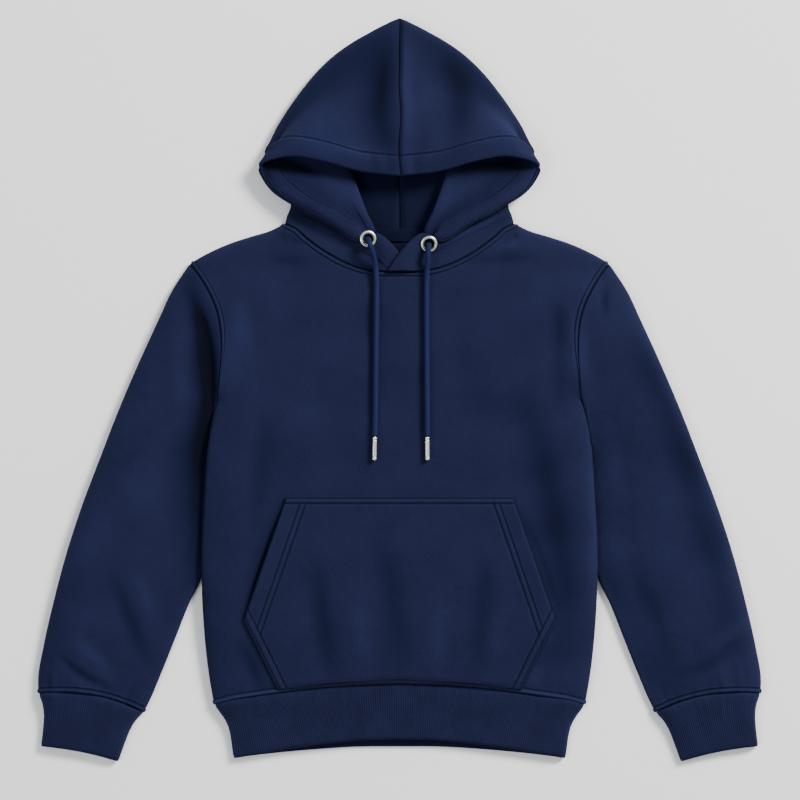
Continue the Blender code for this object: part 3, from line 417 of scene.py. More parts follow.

# Painted shade (below zero) and painted light (above zero), as lines of points with a half width and an
# amount
FRONT_PAINTED_SHADING = [
    ([(-248, -90), (-250, -230), (-240, -380)], 8, -0.25),
    ([(-212, 95), (-212, 40), (-214, -20)], 16, 0.4),
    ([(152, -20), (176, -65), (189, -116), (199, -180), (209, -240), (207, -360)], 30, -0.4),
    ([(-212, 120), (-200, 90), (-190, 40), (-188, -20), (-190, -80)], 13, 0.22),
    ([(239, -60), (245, -130), (247, -210), (243, -290)], 8, 0.35),
    ([(203, 110), (204, 50), (207, -25)], 11, -0.35),
    ([(221, 105), (223, 60), (226, 10)], 4, 0.5),
    ([(-146, -138), (-174, -217), (-201.5, -295)], 3.2, -1.3),
    ([(-150, -142), (-180, -215), (-206, -296)], 8, -0.3),
    ([(154, -150), (181, -215), (204, -284)], 4, -0.4),
    ([(-205, -230), (-200, -345)], 14, 0.12),
]
SLEEVE_PAINTED_SHADING = [
    ([(-264, 135), (-256, 95), (-250, 65), (-245, 20), (-244, -20), (-249, -60)], 15, -1.1),
    ([(-252, 100), (-244, 75), (-240.5, 50), (-239.5, 20), (-240, -10)], 4, -0.5),
    ([(-244, -10), (-254, -60), (-258, -110), (-259, -180), (-264, -250)], 12, -0.75),
    ([(-268, 80), (-268, -40), (-280, -160), (-285, -230)], 22, -0.3),
    ([(266, 104), (283, 80), (302, 43), (321, -4), (340, -52), (360, -100), (379, -161), (398, -212),
      (417, -283), (430, -330)], 18, -0.7),
    ([(262, -60), (272, -160), (285, -240), (300, -310), (318, -360)], 14, 0.3),
    ([(236, 105), (234, 60), (236, 10)], 6, 0.35),
]
HOOD_PAINTED_SHADING = [
    ([(-16, 440), (-23, 383), (-25, 345), (-12, 292)], 16, -1.0),
    ([(-40, 430), (-44, 383), (-46, 345), (-34, 305)], 17, -0.45),
    ([(9, 445), (10, 380), (11, 290)], 8, 0.5),
    ([(54, 425), (72, 383), (76, 345), (66, 300)], 24, -0.65),
    ([(35, 350), (32, 300)], 10, -0.3),
    ([(132, 360), (150, 322)], 10, 0.4),
    ([(-128, 314), (-85, 303), (-45, 297), (-8, 292)], 12, 0.5),
    ([(-62, 400), (-76, 345)], 20, -0.22),
    ([(75, 400), (102, 342)], 24, -0.24),
    ([(12, 302), (14, 272)], 7, 0.4),
]
LINING_PAINTED_SHADE = [([(58, 272), (92, 281), (125, 288), (162, 286)], 13, -1.5)]


def across(mid, axis, closed=False):
    """Unit tangents of a grid along one axis, each the mean of the two unit steps beside it."""
    mid = np.moveaxis(mid, axis, 0)
    if closed:
        steps = unit(np.roll(mid, -1, 0) - mid)
        tangents = unit(steps + np.roll(steps, 1, 0))
    else:
        steps = unit(np.diff(mid, axis=0))
        tangents = unit(np.concatenate([steps[:1], steps[:-1] + steps[1:], steps[-1:]]))
    return np.moveaxis(tangents, 0, axis)


def line_distance(xy, line):
    """Distance from each point to a chain of straight lines, and the share along it."""
    line = np.asarray(line, float)
    far, leg, t = nearest_on(line, xy)
    return far, (leg + t) / (len(line) - 1)


def creases(xy, table):
    """Height of troughs and ridges: a bell across each line and half a sine along it, which runs
    out past its ends."""
    total = np.zeros(xy.shape[:-1])
    for points, width, height in table:
        points = np.asarray(points, float)
        line = smooth(points, np.linspace(0, 1, 9)) if len(points) > 2 else points
        far, share = line_distance(xy, line)
        total += height * bell(far, width) * (0.25 + 0.75 * np.sin(np.pi * share))
    return total


def ripple(xy, seed, height):
    """Faint waves of cloth that was not pulled flat: five long sines in uneven directions."""
    draw = np.random.default_rng(seed)
    total = np.zeros(xy.shape[:-1])
    for _ in range(5):
        angle, length, phase = draw.uniform(0, np.pi), draw.uniform(70, 160), draw.uniform(0, 6.28)
        way = xy[..., 0] * np.cos(angle) + xy[..., 1] * np.sin(angle)
        cross = xy[..., 1] * np.cos(angle) - xy[..., 0] * np.sin(angle)
        bend = 0.9 * np.sin(2 * np.pi * cross / (2.3 * length))
        total += np.sin(2 * np.pi * way / length + phase + bend)
    return height * total / 5


def groove(far, depth, width, centre=0.0):
    """A rounded furrow round one distance from a line."""
    return -depth * bell(far - centre, width)


def hollow_of(detail, deepest=HOLLOW_DEPTH):
    """How hollow a relief is, from 0 on the face to 1 at its deepest dips: the share of painted shade
    there.
    """
    return np.clip(-detail / deepest, 0, 1)


def welt(far, start, end, height, soft=1.6):
    """A flat raised band between two distances from a line, with soft edges."""
    return height * ease((far - start) / soft) * (1 - ease((far - end + soft) / soft))


def run(points, axis):
    """Length along a grid's lines from their start, for each point."""
    steps = np.linalg.norm(np.diff(points, axis=axis), axis=-1)
    first = np.zeros_like(np.take(steps, [0], axis=axis))
    return np.concatenate([first, np.cumsum(steps, axis=axis)], axis=axis)


def run_back(points, axis):
    """Length along a grid's lines from their end, for each point."""
    return np.flip(run(np.flip(points, axis), axis), axis)


def mean_beside(grid):
    """Mean of the four neighbours of every inner point of a grid."""
    return (grid[:-2, 1:-1] + grid[2:, 1:-1] + grid[1:-1, :-2] + grid[1:-1, 2:]) / 4


def gathers(along, away, seed, height):
    """Small uneven folds that a tighter band draws into the cloth: sines of mixed length along
    the seam, which fade out with the distance away from it."""
    draw = np.random.default_rng(seed)
    total = np.zeros(np.broadcast(along, away).shape)
    for length in (11, 17, 26, 41):
        total += np.sin(2 * np.pi * along / length + draw.uniform(0, 6.28)) * draw.uniform(0.6, 1)
    reach = 24 + 14 * np.sin(along / 23.0 + seed)
    return height * total / 4 * bell(away, reach) * ease(away / 5)


def shade_of(points, bumps, table=()):
    """Painted light and shade: lighter on ridges and darker in hollows, from the height over its own
    surroundings, from the creases, and along a table of lines."""
    height = points[..., 2]
    around = height.copy()
    for _ in range(80):
        around[1:-1, 1:-1] = mean_beside(around)
    relief = np.clip((height - around) / 7, -0.35, 0.35)
    return np.clip(relief + 0.1 * bumps + creases(points[..., :2], table), DARKEST_PAINTED, LIGHTEST_PAINTED)


FAR = 9.0  # from here on no seam line is drawn


def grid_corners(rows, columns, closed):
    """Row and column of the four corners of each face of a grid. Closed columns run on past the
    last one, back to the first."""
    i, j = np.meshgrid(np.arange(rows - 1), np.arange(columns if closed else columns - 1), indexing="ij")
    i, j = i.ravel()[:, None], j.ravel()[:, None]
    return i + [[0, 0, 1, 1]], j + [[0, 1, 1, 0]]


def cloth_map(points, closed):
    """Flat coordinates of a grid in metres: length along its rows and along its columns, both
    from the middle."""
    if closed:
        points = np.concatenate([points, points[:, :1]], axis=1)
    u, v = run(points, 1), run(points, 0)
    middle = points.shape[1] // 2
    return np.stack([u - u[:, middle, None], v], -1) * MM


def fill(data, key, values):
    """Sets one field of all the elements of a mesh's layer at once."""
    data.foreach_set(key, np.ascontiguousarray(values, np.float32).ravel())


def mesh_object(name, points, faces, uv, surface, values=None, seam=None):
    """A smooth object of four-sided faces, with a flat map per corner, named values per point,
    and per corner the distance in millimetres from the nearest seam line."""
    mesh = bpy.data.meshes.new(name)
    mesh.vertices.add(len(points))
    fill(mesh.vertices, "co", points * MM)
    mesh.loops.add(faces.size)
    mesh.loops.foreach_set("vertex_index", faces.astype(np.int32).ravel())
    mesh.polygons.add(len(faces))
    mesh.polygons.foreach_set("loop_start", np.arange(0, faces.size, 4, dtype=np.int32))
    mesh.polygons.foreach_set("use_smooth", np.ones(len(faces), bool))
    mesh.update(calc_edges=True)
    fill(mesh.uv_layers.new(name="cloth").data, "uv", uv)
    if seam is not None:
        fill(mesh.uv_layers.new(name="seam").data, "uv", np.stack([seam, np.zeros_like(seam)], -1))
    for key, value in (values or {}).items():
        fill(mesh.attributes.new(key, "FLOAT", "POINT").data, "value", value)
    mesh.materials.append(surface)
    made = bpy.data.objects.new(name, mesh)
    bpy.context.scene.collection.objects.link(made)
    return made


def seam_distance(seams, i, j, columns):
    """Signed distance of every corner of every face from the seam line that is nearest to that
    face. A seam is a field over the grid and the level at which its line lies."""
    if not seams:
        return np.full(i.shape, FAR)
    offsets = np.stack([field[i, j % columns] - level for field, level in seams])
    nearest = np.abs(offsets.mean(-1)).argmin(0)
    return np.clip(np.take_along_axis(offsets, nearest[None, :, None], 0)[0], -FAR, FAR)


def shell(name, outer, inner, surface, closed=False, hollow_shade=None, painted_shading=None, seams=(), lining=(),
          inside=None):
    """A wall of cloth between two grids of points, closed along its edges. Seams are drawn on its outer
    face and those of its lining on the inner one, which may have painted light and shade of its own."""
    rows, columns = outer.shape[:2]
    i, j = grid_corners(rows, columns, closed)
    wide = columns + 1 if closed else columns
    i, j = np.broadcast_arrays(i, j)
    face, flat = i * columns + j % columns, i * wide + j
    distances = [seam_distance(seams, i, j, columns), seam_distance(lining, i, j, columns)[:, ::-1]]
    count, flats = rows * columns, rows * wide
    faces = [face, count + face[:, ::-1]]
    maps = [flat, flats + flat[:, ::-1]]
    across_columns = np.arange(columns if closed else columns - 1)
    rims = [(0, across_columns, 1, 0, 0), (rows - 1, across_columns, 1, 0, 1)]
    along_rows = np.arange(rows - 1)
    if not closed:
        rims += [(along_rows, 0, 0, 1, 1), (along_rows, columns - 1, 0, 1, 0)]
    for row, column, step_j, step_i, flip in rims:
        row, column = np.broadcast_arrays(row, column)
        ends = [(row, column), (row + step_i, column + step_j)]
        near, far = [a * columns + b % columns for a, b in ends]
        near_uv, far_uv = [a * wide + b for a, b in ends]
        rim = np.stack([far, near, count + near, count + far], -1)
        rim_uv = np.stack([far_uv, near_uv, flats + near_uv, flats + far_uv], -1)
        faces.append(rim[:, ::-1] if flip else rim)
        maps.append(rim_uv[:, ::-1] if flip else rim_uv)
        distances.append(np.full(rim.shape, FAR))
    points = np.concatenate([outer.reshape(-1, 3), inner.reshape(-1, 3)])
    points[:, 2] = np.maximum(points[:, 2], 0)
    uv = cloth_map(outer, closed).reshape(-1, 2)
    uv = np.concatenate([uv, uv])[np.concatenate(maps)]
    plain = np.zeros((rows, columns))
    # Per point: painted shade in hollows, and painted light and shade of the outer and the inner face
    values = {key: np.concatenate([(plain if value is None else value).ravel() for value in pair])
              for key, pair in (("hollow_shade", (hollow_shade, None)), ("painted_shading", (painted_shading, inside)))}
    return mesh_object(name, points, np.concatenate(faces), uv, surface, values,
                       np.concatenate(distances))


ENDINGS = {"nickel": "_metal", "cord_knit": "_knit"}


def finish(piece, node, slot):
    """Names a piece after its node, and tells the frame what it rides on, replaces and is made of."""
    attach(piece, "root")
    if node:
        piece.name = node + ENDINGS.get(slot, "_cloth")
        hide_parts(node)
    return piece


def turned_ring(name, profile, centre, normal, sides, surface):
    """A closed profile of radius and height carried once round an axis."""
    side = unit(np.cross(normal, (0.0, 1.0, 0.0)))
    up = np.cross(side, normal)
    angles = np.linspace(0, 2 * np.pi, sides, endpoint=False)[:, None, None]
    radial = np.cos(angles) * side + np.sin(angles) * up
    profile = np.asarray(profile, float)
    points = centre + radial * profile[None, :, :1] + normal * profile[None, :, 1:]
    i, j = grid_corners(sides + 1, len(profile), True)
    faces = (i % sides) * len(profile) + j % len(profile)
    uv = np.stack([i / sides, j / len(profile)], -1)
    return mesh_object(name, points.reshape(-1, 3), faces, uv, surface)


def swept_tube(name, centres, radii, profile_angles, surface, relief):
    """Rings of points round a path, closed at both ends by a last ring of almost no radius. The
    relief adds to the radius at each ring and angle."""
    along = across(centres, 0)
    side = unit(np.cross(along, (0.0, 0.0, 1.0)))
    up = np.cross(side, along)
    angles = profile_angles[None, :, None]
    size = (radii[:, None] + relief)[..., None]
    points = centres[:, None] + size * (np.cos(angles) * side[:, None] + np.sin(angles) * up[:, None])
    rows, columns = points.shape[:2]
    i, j = grid_corners(rows, columns, True)
    faces = i * columns + j % columns
    length = run(centres, 0)
    uv = np.stack([j / columns, length[i] * MM], -1)
    caps = np.arange(columns // 2 - 1)
    for row, flip in ((0, False), (rows - 1, True)):
        base = row * columns
        cap = base + np.stack([caps, caps + 1, columns - 2 - caps, columns - 1 - caps], -1)
        faces = np.concatenate([faces, cap if flip else cap[:, ::-1]])
        uv = np.concatenate([uv, np.zeros(cap.shape + (2,))])
    return mesh_object(name, points.reshape(-1, 3), faces[:, ::-1], uv[:, ::-1], surface)


# ---------------------------------------------------------------- stitches


def contour(points, field, level, axis):
    """Points of a grid's surface where a field crosses a level along one axis, in order."""
    points, field = np.moveaxis(points, axis, 0), np.moveaxis(field, axis, 0)
    over = field - level
    change = over[:-1] * over[1:] <= 0
    column = np.nonzero(change.any(0))[0]
    k = change.argmax(0)[column]
    a, b = over[k, column], over[k + 1, column]
    t = (a / np.where(a == b, 1, a - b))[:, None]
    return points[k, column] * (1 - t) + points[k + 1, column] * t


def between(points, at, places):
    """Points at places along a chain of points, from the place of each one."""
    return np.stack([np.interp(places, at, points[:, k]) for k in range(3)], -1)


def stitches_on(line):
    """Start and end points of the stitches along a line, at the stitch pitch."""
    steps = np.linalg.norm(np.diff(line, axis=0), axis=1)
    at = np.concatenate([[0], np.cumsum(steps)])
    starts = np.arange(0.8, at[-1] - STITCH, STITCH_PITCH)
    first, last = between(line, at, starts), between(line, at, starts + STITCH)
    span = np.linalg.norm(last - first, axis=1)
    clear = np.abs(np.interp(starts + STITCH, at[1:], steps)) < LONGEST_LEG
    kept = (span > 0.85 * STITCH) & clear
    return first[kept], last[kept]


def add_topstitch(surface):
    """Every stitch is a thread of diamond section, thick in the middle, whose ends dip into the
    cloth."""
    pairs = [stitches_on(line) for line in lines if len(line) > 3]
    start, end = (np.concatenate(points) for points in zip(*pairs))
    along = unit(end - start)
    side = unit(np.cross(along, (0.0, 0.0, 1.0)))
    up = np.cross(side, along)
    rings = []
    for share, size, lift in THREAD:
        middle = start + (end - start) * share + up * lift
        rings.append(np.stack([middle + side * size, middle + up * size, middle - side * size,
                               middle - up * size], 1))
    points = np.stack(rings, 1).reshape(-1, 3)
    ring, corner = np.arange(3)[:, None], np.arange(4)[None]
    quads = np.stack([ring * 4 + corner, ring * 4 + (corner + 1) % 4,
                      ring * 4 + 4 + (corner + 1) % 4, ring * 4 + 4 + corner], -1).reshape(-1, 4)
    quads = np.concatenate([quads, [[3, 2, 1, 0], [12, 13, 14, 15]]])
    faces = (np.arange(len(start))[:, None, None] * 16 + quads[None]).reshape(-1, 4)
    uv = np.tile([[[0, 0], [1, 0], [1, 1], [0, 1]]], (len(faces), 1, 1))
    made = mesh_object("topstitch", points, faces, uv, surface)
    return finish(made, None, "brushed_fleece")


SPREAD = np.linspace(0, 1, 41)
SIDE_FOLDS = [Fold(SIDE_EDGE, BODY_REACH), Fold(mirrored(SIDE_EDGE), BODY_REACH)]
SHOULDER_FOLDS = [Fold(SHOULDER, BODY_REACH), Fold(mirrored(SHOULDER), BODY_REACH)]
OVERARM = [(row[0], row[1], SLEEVE_EDGE) for row in SLEEVE]
OVERARM_FOLDS = [Fold(OVERARM, SLEEVE_OUTER_REACH), Fold(mirrored(OVERARM), SLEEVE_OUTER_REACH)]
BODY_FOLDS = SIDE_FOLDS + SHOULDER_FOLDS + OVERARM_FOLDS


def patch(bottom, top, centre, edge, u, v):
    """Coons patch between four plan curves that share their corners."""
    u, v = u[None, :, None], v[:, None, None]
    ruled = (1 - v) * bottom[None] + v * top[None] + (1 - u) * centre[:, None] + u * edge[:, None]
    corners = (
        (1 - u) * (1 - v) * bottom[0] + u * (1 - v) * bottom[-1] + (1 - u) * v * top[0] + u * v * top[-1]
    )
    return ruled - corners


def body_plan(neck):
    """Plan of a body panel, a grid from side to side and from the hem seam to neck and shoulders."""
    u = np.concatenate([ACROSS_NECK, ACROSS_SHOULDER])
    count = len(ACROSS_NECK)
    top = np.concatenate([
        smooth(neck, u[:count] / NECK_SHARE),
        smooth(SHOULDER, (u[count:] - NECK_SHARE) / (1 - NECK_SHARE))[:, :2],
    ])
    side = smooth(SIDE_EDGE, SIDE_ROWS)[:, :2]
    edge = np.concatenate([side, smooth(ARMHOLE, ACROSS_SLEEVE[1:])])
    lengths = run(edge, 0)
    v = lengths / lengths[-1]
    bottom = smooth(HEM_SEAM, u)
    centre = np.stack([np.zeros(len(v)), bottom[0, 1] + (top[0, 1] - bottom[0, 1]) * v], -1)
    half = patch(bottom, top, centre, edge, u, v)
    left = half[:, :0:-1] * (-1, 1)
    return np.concatenate([left, half], axis=1)


# ---------------------------------------------------------------- body


def layer(plan, folds, upper, folded_rows, folded_top, bumps=None):
    """Middle surface and outward normals of a panel of the body. Along a fold its edge stands up
    on the other panel's, and elsewhere it keeps the slope of the cloth. Bumps add to its height
    where the two panels lie apart."""
    top, low = loft(plan, folds)
    dip = -1.0 if upper else 1.0
    share = ease((top - low) / 7)
    height = top if upper else low
    if bumps is not None:
        room = ease((top - low - 3) / 9)
        height = height + bumps * room if upper else np.maximum(height + bumps * room, REST)
    mid = np.concatenate([plan, height[..., None]], -1)
    share[:folded_rows, [0, -1]] = 0
    share_u, share_v = share[..., None].copy(), share[..., None]
    if folded_top:
        share_u[-1] = 1
    down = np.array([0, 0, dip])
    along_u, along_v = across(mid, 1), across(mid, 0)
    along_u[:, -1] = unit(along_u[:, -1] * share_u[:, -1] + down * (1 - share_u[:, -1]))
    along_u[:, 0] = unit(along_u[:, 0] * share_u[:, 0] - down * (1 - share_u[:, 0]))
    if folded_top:
        along_v[-1] = unit(along_v[-1] * share_v[-1] + down * (1 - share_v[-1]))
    normals = -dip * unit(np.cross(along_u, along_v))
    mid[..., 2] -= dip * GAP / 2 * (1 - share)
    return mid, normals


def folded(xy):
    """The same points with the left half laid over the right one."""
    return np.stack([np.abs(xy[..., 0]), xy[..., 1]], -1)


def body_bumps(plan, upper):
    """Creases and waves of a body panel. The front also shows those of the pocket over it."""
    away = line_distance(folded(plan), smooth(HEM_SEAM, SPREAD))[0]
    if not upper:
        return creases(plan, BACK_CREASES) + ripple(plan, 7, 0.5)
    under_pocket = np.minimum(creases(plan, POCKET_CREASES), 0)
    free = np.where(np.abs(plan[..., 0]) < POCKET_CORNER[0] - 6, 0.0, 1.0)
    bumps = creases(plan, FRONT_CREASES) + under_pocket + ripple(plan, 3, 0.8)
    return bumps + free * gathers(plan[..., 0], away, 2, 0.9)


def body_layer(upper):
    plan = body_plan(FRONT_NECK if upper else BACK_NECK)
    return layer(plan, BODY_FOLDS, upper, SIDE_STEPS + 1, True, body_bumps(plan, upper))


BODY_LAYERS = {upper: body_layer(upper) for upper in (True, False)}


def armhole_edge(upper):
    """Points and normals of a body panel's right armhole, from the underarm to the shoulder."""
    mid, normals = BODY_LAYERS[upper]
    return mid[SIDE_STEPS:, -1], normals[SIDE_STEPS:, -1]


def neck_edge(upper):
    """Points and normals of a body panel's neck, from its centre to the right shoulder."""
    mid, normals = BODY_LAYERS[upper]
    centre = mid.shape[1] // 2
    columns = slice(centre, centre + len(ACROSS_NECK))
    return mid[-1, columns], normals[-1, columns]


def walls(mid, normals, wall, detail):
    """Outer and inner points of a wall of cloth. The detail stands on its outer face."""
    return mid + normals * (wall / 2 + detail)[..., None], mid - normals * wall / 2


def backwards(*grids):
    """The grids with their columns in the opposite order, which turns their faces over."""
    return [grid[:, ::-1] for grid in grids]


def seams_backwards(seams):
    return [(field[:, ::-1], level) for field, level in seams]


def seam_detail(far):
    """A sewn seam with its allowance turned under one side and stitched down: the cloth dips into
    the seam, swells over the allowance and dips again under the stitches."""
    return groove(far, 1.3, 1.4) + welt(far, 0.6, TOPSTITCH + 0.8, 1.1) + groove(far, 0.6, 0.9, TOPSTITCH)


def body_details(plan, neck):
    """Relief of seams on a body panel, with the distances to armhole, neck and hem. The armhole's
    is stretched near the underarm, where its two lines run together."""
    arm = line_distance(folded(plan), smooth(ARMHOLE, SPREAD))[0]
    arm = arm / (0.15 + 0.85 * ease((plan[..., 1] - 12) / 75))
    collar = line_distance(folded(plan), smooth(neck, SPREAD))[0]
    hem = line_distance(folded(plan), smooth(HEM_SEAM, SPREAD))[0]
    roll = 1.5 * bell(hem - 2.6, 2.4) + groove(hem, 0.7, 0.8, HEM_STITCH)
    return seam_detail(arm) + seam_detail(collar) + roll, arm, collar, hem


def add_body_panel(name, upper, surface):
    """The front or the back, with the stitch lines of the front."""
    mid, normals = BODY_LAYERS[upper]
    plan = mid[..., :2]
    detail, arm, collar, hem = body_details(plan, FRONT_NECK if upper else BACK_NECK)
    outer, inner = walls(mid, normals, WALL, detail * (1 if upper else 0.4))
    # Painted shade in the seams' dips, and painted light and shade over the panel
    hollow_shade = hollow_of(detail)
    painted_shading = shade_of(mid, body_bumps(plan, upper), FRONT_PAINTED_SHADING if upper else ())
    arm[: SIDE_STEPS - 1] = NOWHERE
    # A painted highlight on the ridge just above the hem seam
    painted_shading = painted_shading + 1.3 * bell(hem - 2.2, 1.3)
    seams = [(arm, 0.0), (collar, 0.0), (hem, -0.3)]
    seams += [(THIN * (far - off), 0.0)
              for far, off in ((arm, TOPSTITCH), (collar, TOPSTITCH), (hem, HEM_STITCH))]
    if upper:
        middle, low = mid.shape[1] // 2, SIDE_STEPS // 2
        for half in (slice(middle, None), slice(None, middle)):
            lines.append(contour(outer[SIDE_STEPS:, half], arm[SIDE_STEPS:, half], TOPSTITCH, 1))
        lines.append(contour(outer[SIDE_STEPS:], collar[SIDE_STEPS:], TOPSTITCH, 0))
        lines.append(contour(outer[:low], hem[:low], HEM_STITCH, 0))
    else:
        outer, inner, hollow_shade, painted_shading = backwards(outer, inner, hollow_shade, painted_shading)
        seams = seams_backwards(seams)
    # Painted shade on the inner face
    inside = np.full(painted_shading.shape, -0.6)
    made = shell(name, outer, inner, surface, hollow_shade=hollow_shade, painted_shading=painted_shading, seams=seams, inside=inside)
    return finish(made, name, "brushed_fleece")


def rib_wave(turns):
    """Ribs as a raised cosine: one on a rib and zero in a furrow, from the ribs counted so far."""
    return 0.5 + 0.5 * np.cos(2 * np.pi * turns)


def rib_relief(from_seam, from_edge, wave):
    """Relief of a rib band and the painted shade of its furrows: a tuck at its seam, a rounded lip at its
    free edge, and ribs that lie lower where the seam holds them."""
    strength = 1 - 0.6 * bell(from_seam, 4)
    detail = -1.1 * bell(from_seam, 3.0) - 0.5 * bell(from_edge, 2.2)
    return detail + RIB_DEPTH * (wave * strength - 0.5), (1 - wave) * strength


def add_hem_rib(name, end, upper, surface):
    """Half of the hem band: ribs across it as a raised cosine, which lie lower where the seam
    holds them."""
    half_width = HEM_SEAM[-1][0]
    ribs = int(half_width / RIB_PITCH)
    shares = np.linspace(-1, 1, 2 * 4 * ribs + 1)
    sides = [(*end[-1], 4.0), (220, -425, 4.2), (236, -402 - SEAM, 4.4)]
    folds = [Fold(sides, BODY_REACH / 2), Fold(mirrored(sides), BODY_REACH / 2)]
    sign, size = np.sign(shares), np.abs(shares)
    seam, free = smooth(HEM_SEAM, size) - (0, SEAM), smooth(end, size)
    plan = np.stack([free + (seam - free) * v for v in RIB_ROWS])
    edge = smooth(sides, RIB_ROWS)[:, :2]
    plan += (edge - plan[:, -1])[:, None] * (size**4)[None, :, None]
    plan[..., 0] *= sign
    from_seam = (1 - RIB_ROWS)[:, None]
    bumps = ripple(plan, 11, 0.5) + gathers(plan[..., 0], from_seam * GATHERED, 5, 0.5)
    mid, normals = layer(plan, folds, upper, len(RIB_ROWS), False, bumps)
    away, from_edge = from_seam * HEM_BAND, RIB_ROWS[:, None] * HEM_BAND
    detail, hollow_shade = rib_relief(away, from_edge, rib_wave(shares * ribs))
    outer, inner = walls(mid, normals, RIB_WALL, detail)
    # Painted light and shade over the band
    painted_shading = shade_of(mid, bumps)
    if not upper:
        outer, inner, hollow_shade, painted_shading = backwards(outer, inner, hollow_shade, painted_shading)
    # Painted shade on the inner face
    inside = np.full(painted_shading.shape, -0.7)
    made = shell(name, outer, inner, surface, hollow_shade=hollow_shade, painted_shading=painted_shading, inside=inside)
    return finish(made, name, "rib_knit")


def ring_plan(table, shares, rows):
    """Plan of a flattened tube: across from its inner to its outer fold, each row bowed up."""
    drawn = smooth(table, rows)
    outer, inner, bow = drawn[:, None, 0:2], drawn[:, None, 2:4], drawn[:, None, 4:5]
    s = np.asarray(shares, float)[None, :, None]
    chord = outer - inner
    side = unit(np.stack([-chord[..., 1], chord[..., 0]], -1))
    return inner + chord * s + side * bow * 4 * s * (1 - s)


def tube(plan, folds):
    """Middle surface of a closed tube: the upper layer from the inner to the outer fold, then the
    lower layer back."""
    top, low = loft(plan, folds)
    for column, fold in ((0, folds[0]), (-1, folds[1])):
        top[:, column] = low[:, column] = fold.nearest(plan[:, column])[1]
    upper = np.concatenate([plan, top[..., None]], -1)
    lower = np.concatenate([plan, low[..., None]], -1)[:, -2:0:-1]
    return np.concatenate([upper, lower], axis=1)


def tube_normals(mid):
    return unit(np.cross(across(mid, 1, closed=True), -across(mid, 0)))


def sleeve_folds():
    """The sleeve's inner fold, which runs along the body at first, its outer fold and the shoulder."""
    inner = UNDERARM + [(row[2], row[3], SLEEVE_EDGE) for row in SLEEVE[3:]]
    folds = [Fold(inner, SLEEVE_INNER_REACH, SLEEVE_INNER_POWER), Fold(OVERARM, SLEEVE_OUTER_REACH)]
    return folds + SHOULDER_FOLDS[:1]


def armhole_ring():
    """The sleeve's first ring, just outside the armholes of both body panels, with its normals."""
    upper, upper_normals = armhole_edge(True)
    lower, lower_normals = armhole_edge(False)
    along = across(upper[:, :2], 0)
    away = np.stack([along[:, 1], -along[:, 0], np.zeros(len(along))], -1)
    notch = UNDERARM_NOTCH * (1 - ease(ACROSS_SLEEVE / 0.12))
    notch += SHOULDER_NOTCH * ease((ACROSS_SLEEVE - 0.94) / 0.06)
    step = away * (ARM_SEAM + notch)[:, None]
    ring = np.concatenate([upper + step, (lower + step)[-2:0:-1]])
    for tip in (0, len(upper) - 1):
        ring[tip] = (upper[tip] + lower[tip]) / 2 + step[tip]
    return ring, np.concatenate([upper_normals, lower_normals[-2:0:-1]])


def sleeve_layer(shares, rows, left):
    """Middle surface and normals of a sleeve, drawn as the right one. Its first rows turn from the
    armhole's line and height into the sleeve's own."""
    plan = ring_plan(SLEEVE, shares, rows)
    mid = tube(plan, sleeve_folds())
    ring, ring_normals = armhole_ring()
    fade = 1 - ease(rows / SLEEVE_BLEND)
    mid = mid + (ring - mid[0])[None] * fade[:, None, None]
    count = len(shares)
    room = ease((mid[:, :count, 2] - REST - 2) / 6) * ease(rows / 0.06)[:, None]
    seen = sided(mid[:, :count, :2], left)
    table = LEFT_SLEEVE_CREASES if left else RIGHT_SLEEVE_CREASES
    length = run(mid, 0)
    cuff_away = (length[-1:] - length)[:, :count]
    lift = creases(seen, table) + ripple(seen, 21 if left else 22, 0.7)
    lift += gathers(run(mid, 1)[-1:, :count], cuff_away, 8 if left else 9, 1.2)
    mid[:, :count, 2] += lift * room
    bumps = np.zeros(mid.shape[:2])
    bumps[:, :count] = lift * room
    normals = tube_normals(mid)
    tips = [0, count - 1]
    kept = normals[0, tips].copy()
    normals[0] = ring_normals
    normals[0, tips] = kept
    # Painted light and shade over the sleeve
    painted_shading = shade_of(sided(mid, left), bumps, SLEEVE_PAINTED_SHADING)
    return mid, normals, painted_shading


def add_sleeve(name, left, surface):
    """A sleeve with a roll of cloth over its cuff's seam, and a stitch line on it."""
    mid, normals, painted_shading = sleeve_layer(ACROSS_SLEEVE, SLEEVE_ROWS, left)
    length = run(mid, 0)
    cuff_away = length[-1:] - length
    detail = groove(length, 1.1, 1.8) + 1.5 * bell(cuff_away - 2.6, 2.6)
    detail += groove(cuff_away, 0.7, 0.8, HEM_STITCH)
    outer, inner = walls(mid, normals, WALL, detail)
    count = len(ACROSS_SLEEVE)
    half = len(SLEEVE_ROWS) // 2
    line = contour(outer[half:, :count], cuff_away[half:, :count], HEM_STITCH, 0)
    lines.append(sided(line, left))
    seams = [(length, 0.0), (cuff_away, 0.3), (cuff_away, HEM_STITCH)]
    return add_tube(name, outer, inner, left, surface, hollow_of(detail), painted_shading, seams, "brushed_fleece")


def add_tube(name, outer, inner, left, surface, hollow_shade, painted_shading, seams, slot):
    """A closed tube's wall, drawn for the right arm and mirrored for the left one."""
    if left:
        outer, inner = sided(outer, True), sided(inner, True)
    else:
        outer, inner, hollow_shade, painted_shading = backwards(outer, inner, hollow_shade, painted_shading)
        seams = seams_backwards(seams)
    return finish(shell(name, outer, inner, surface, True, hollow_shade, painted_shading, seams), name, slot)


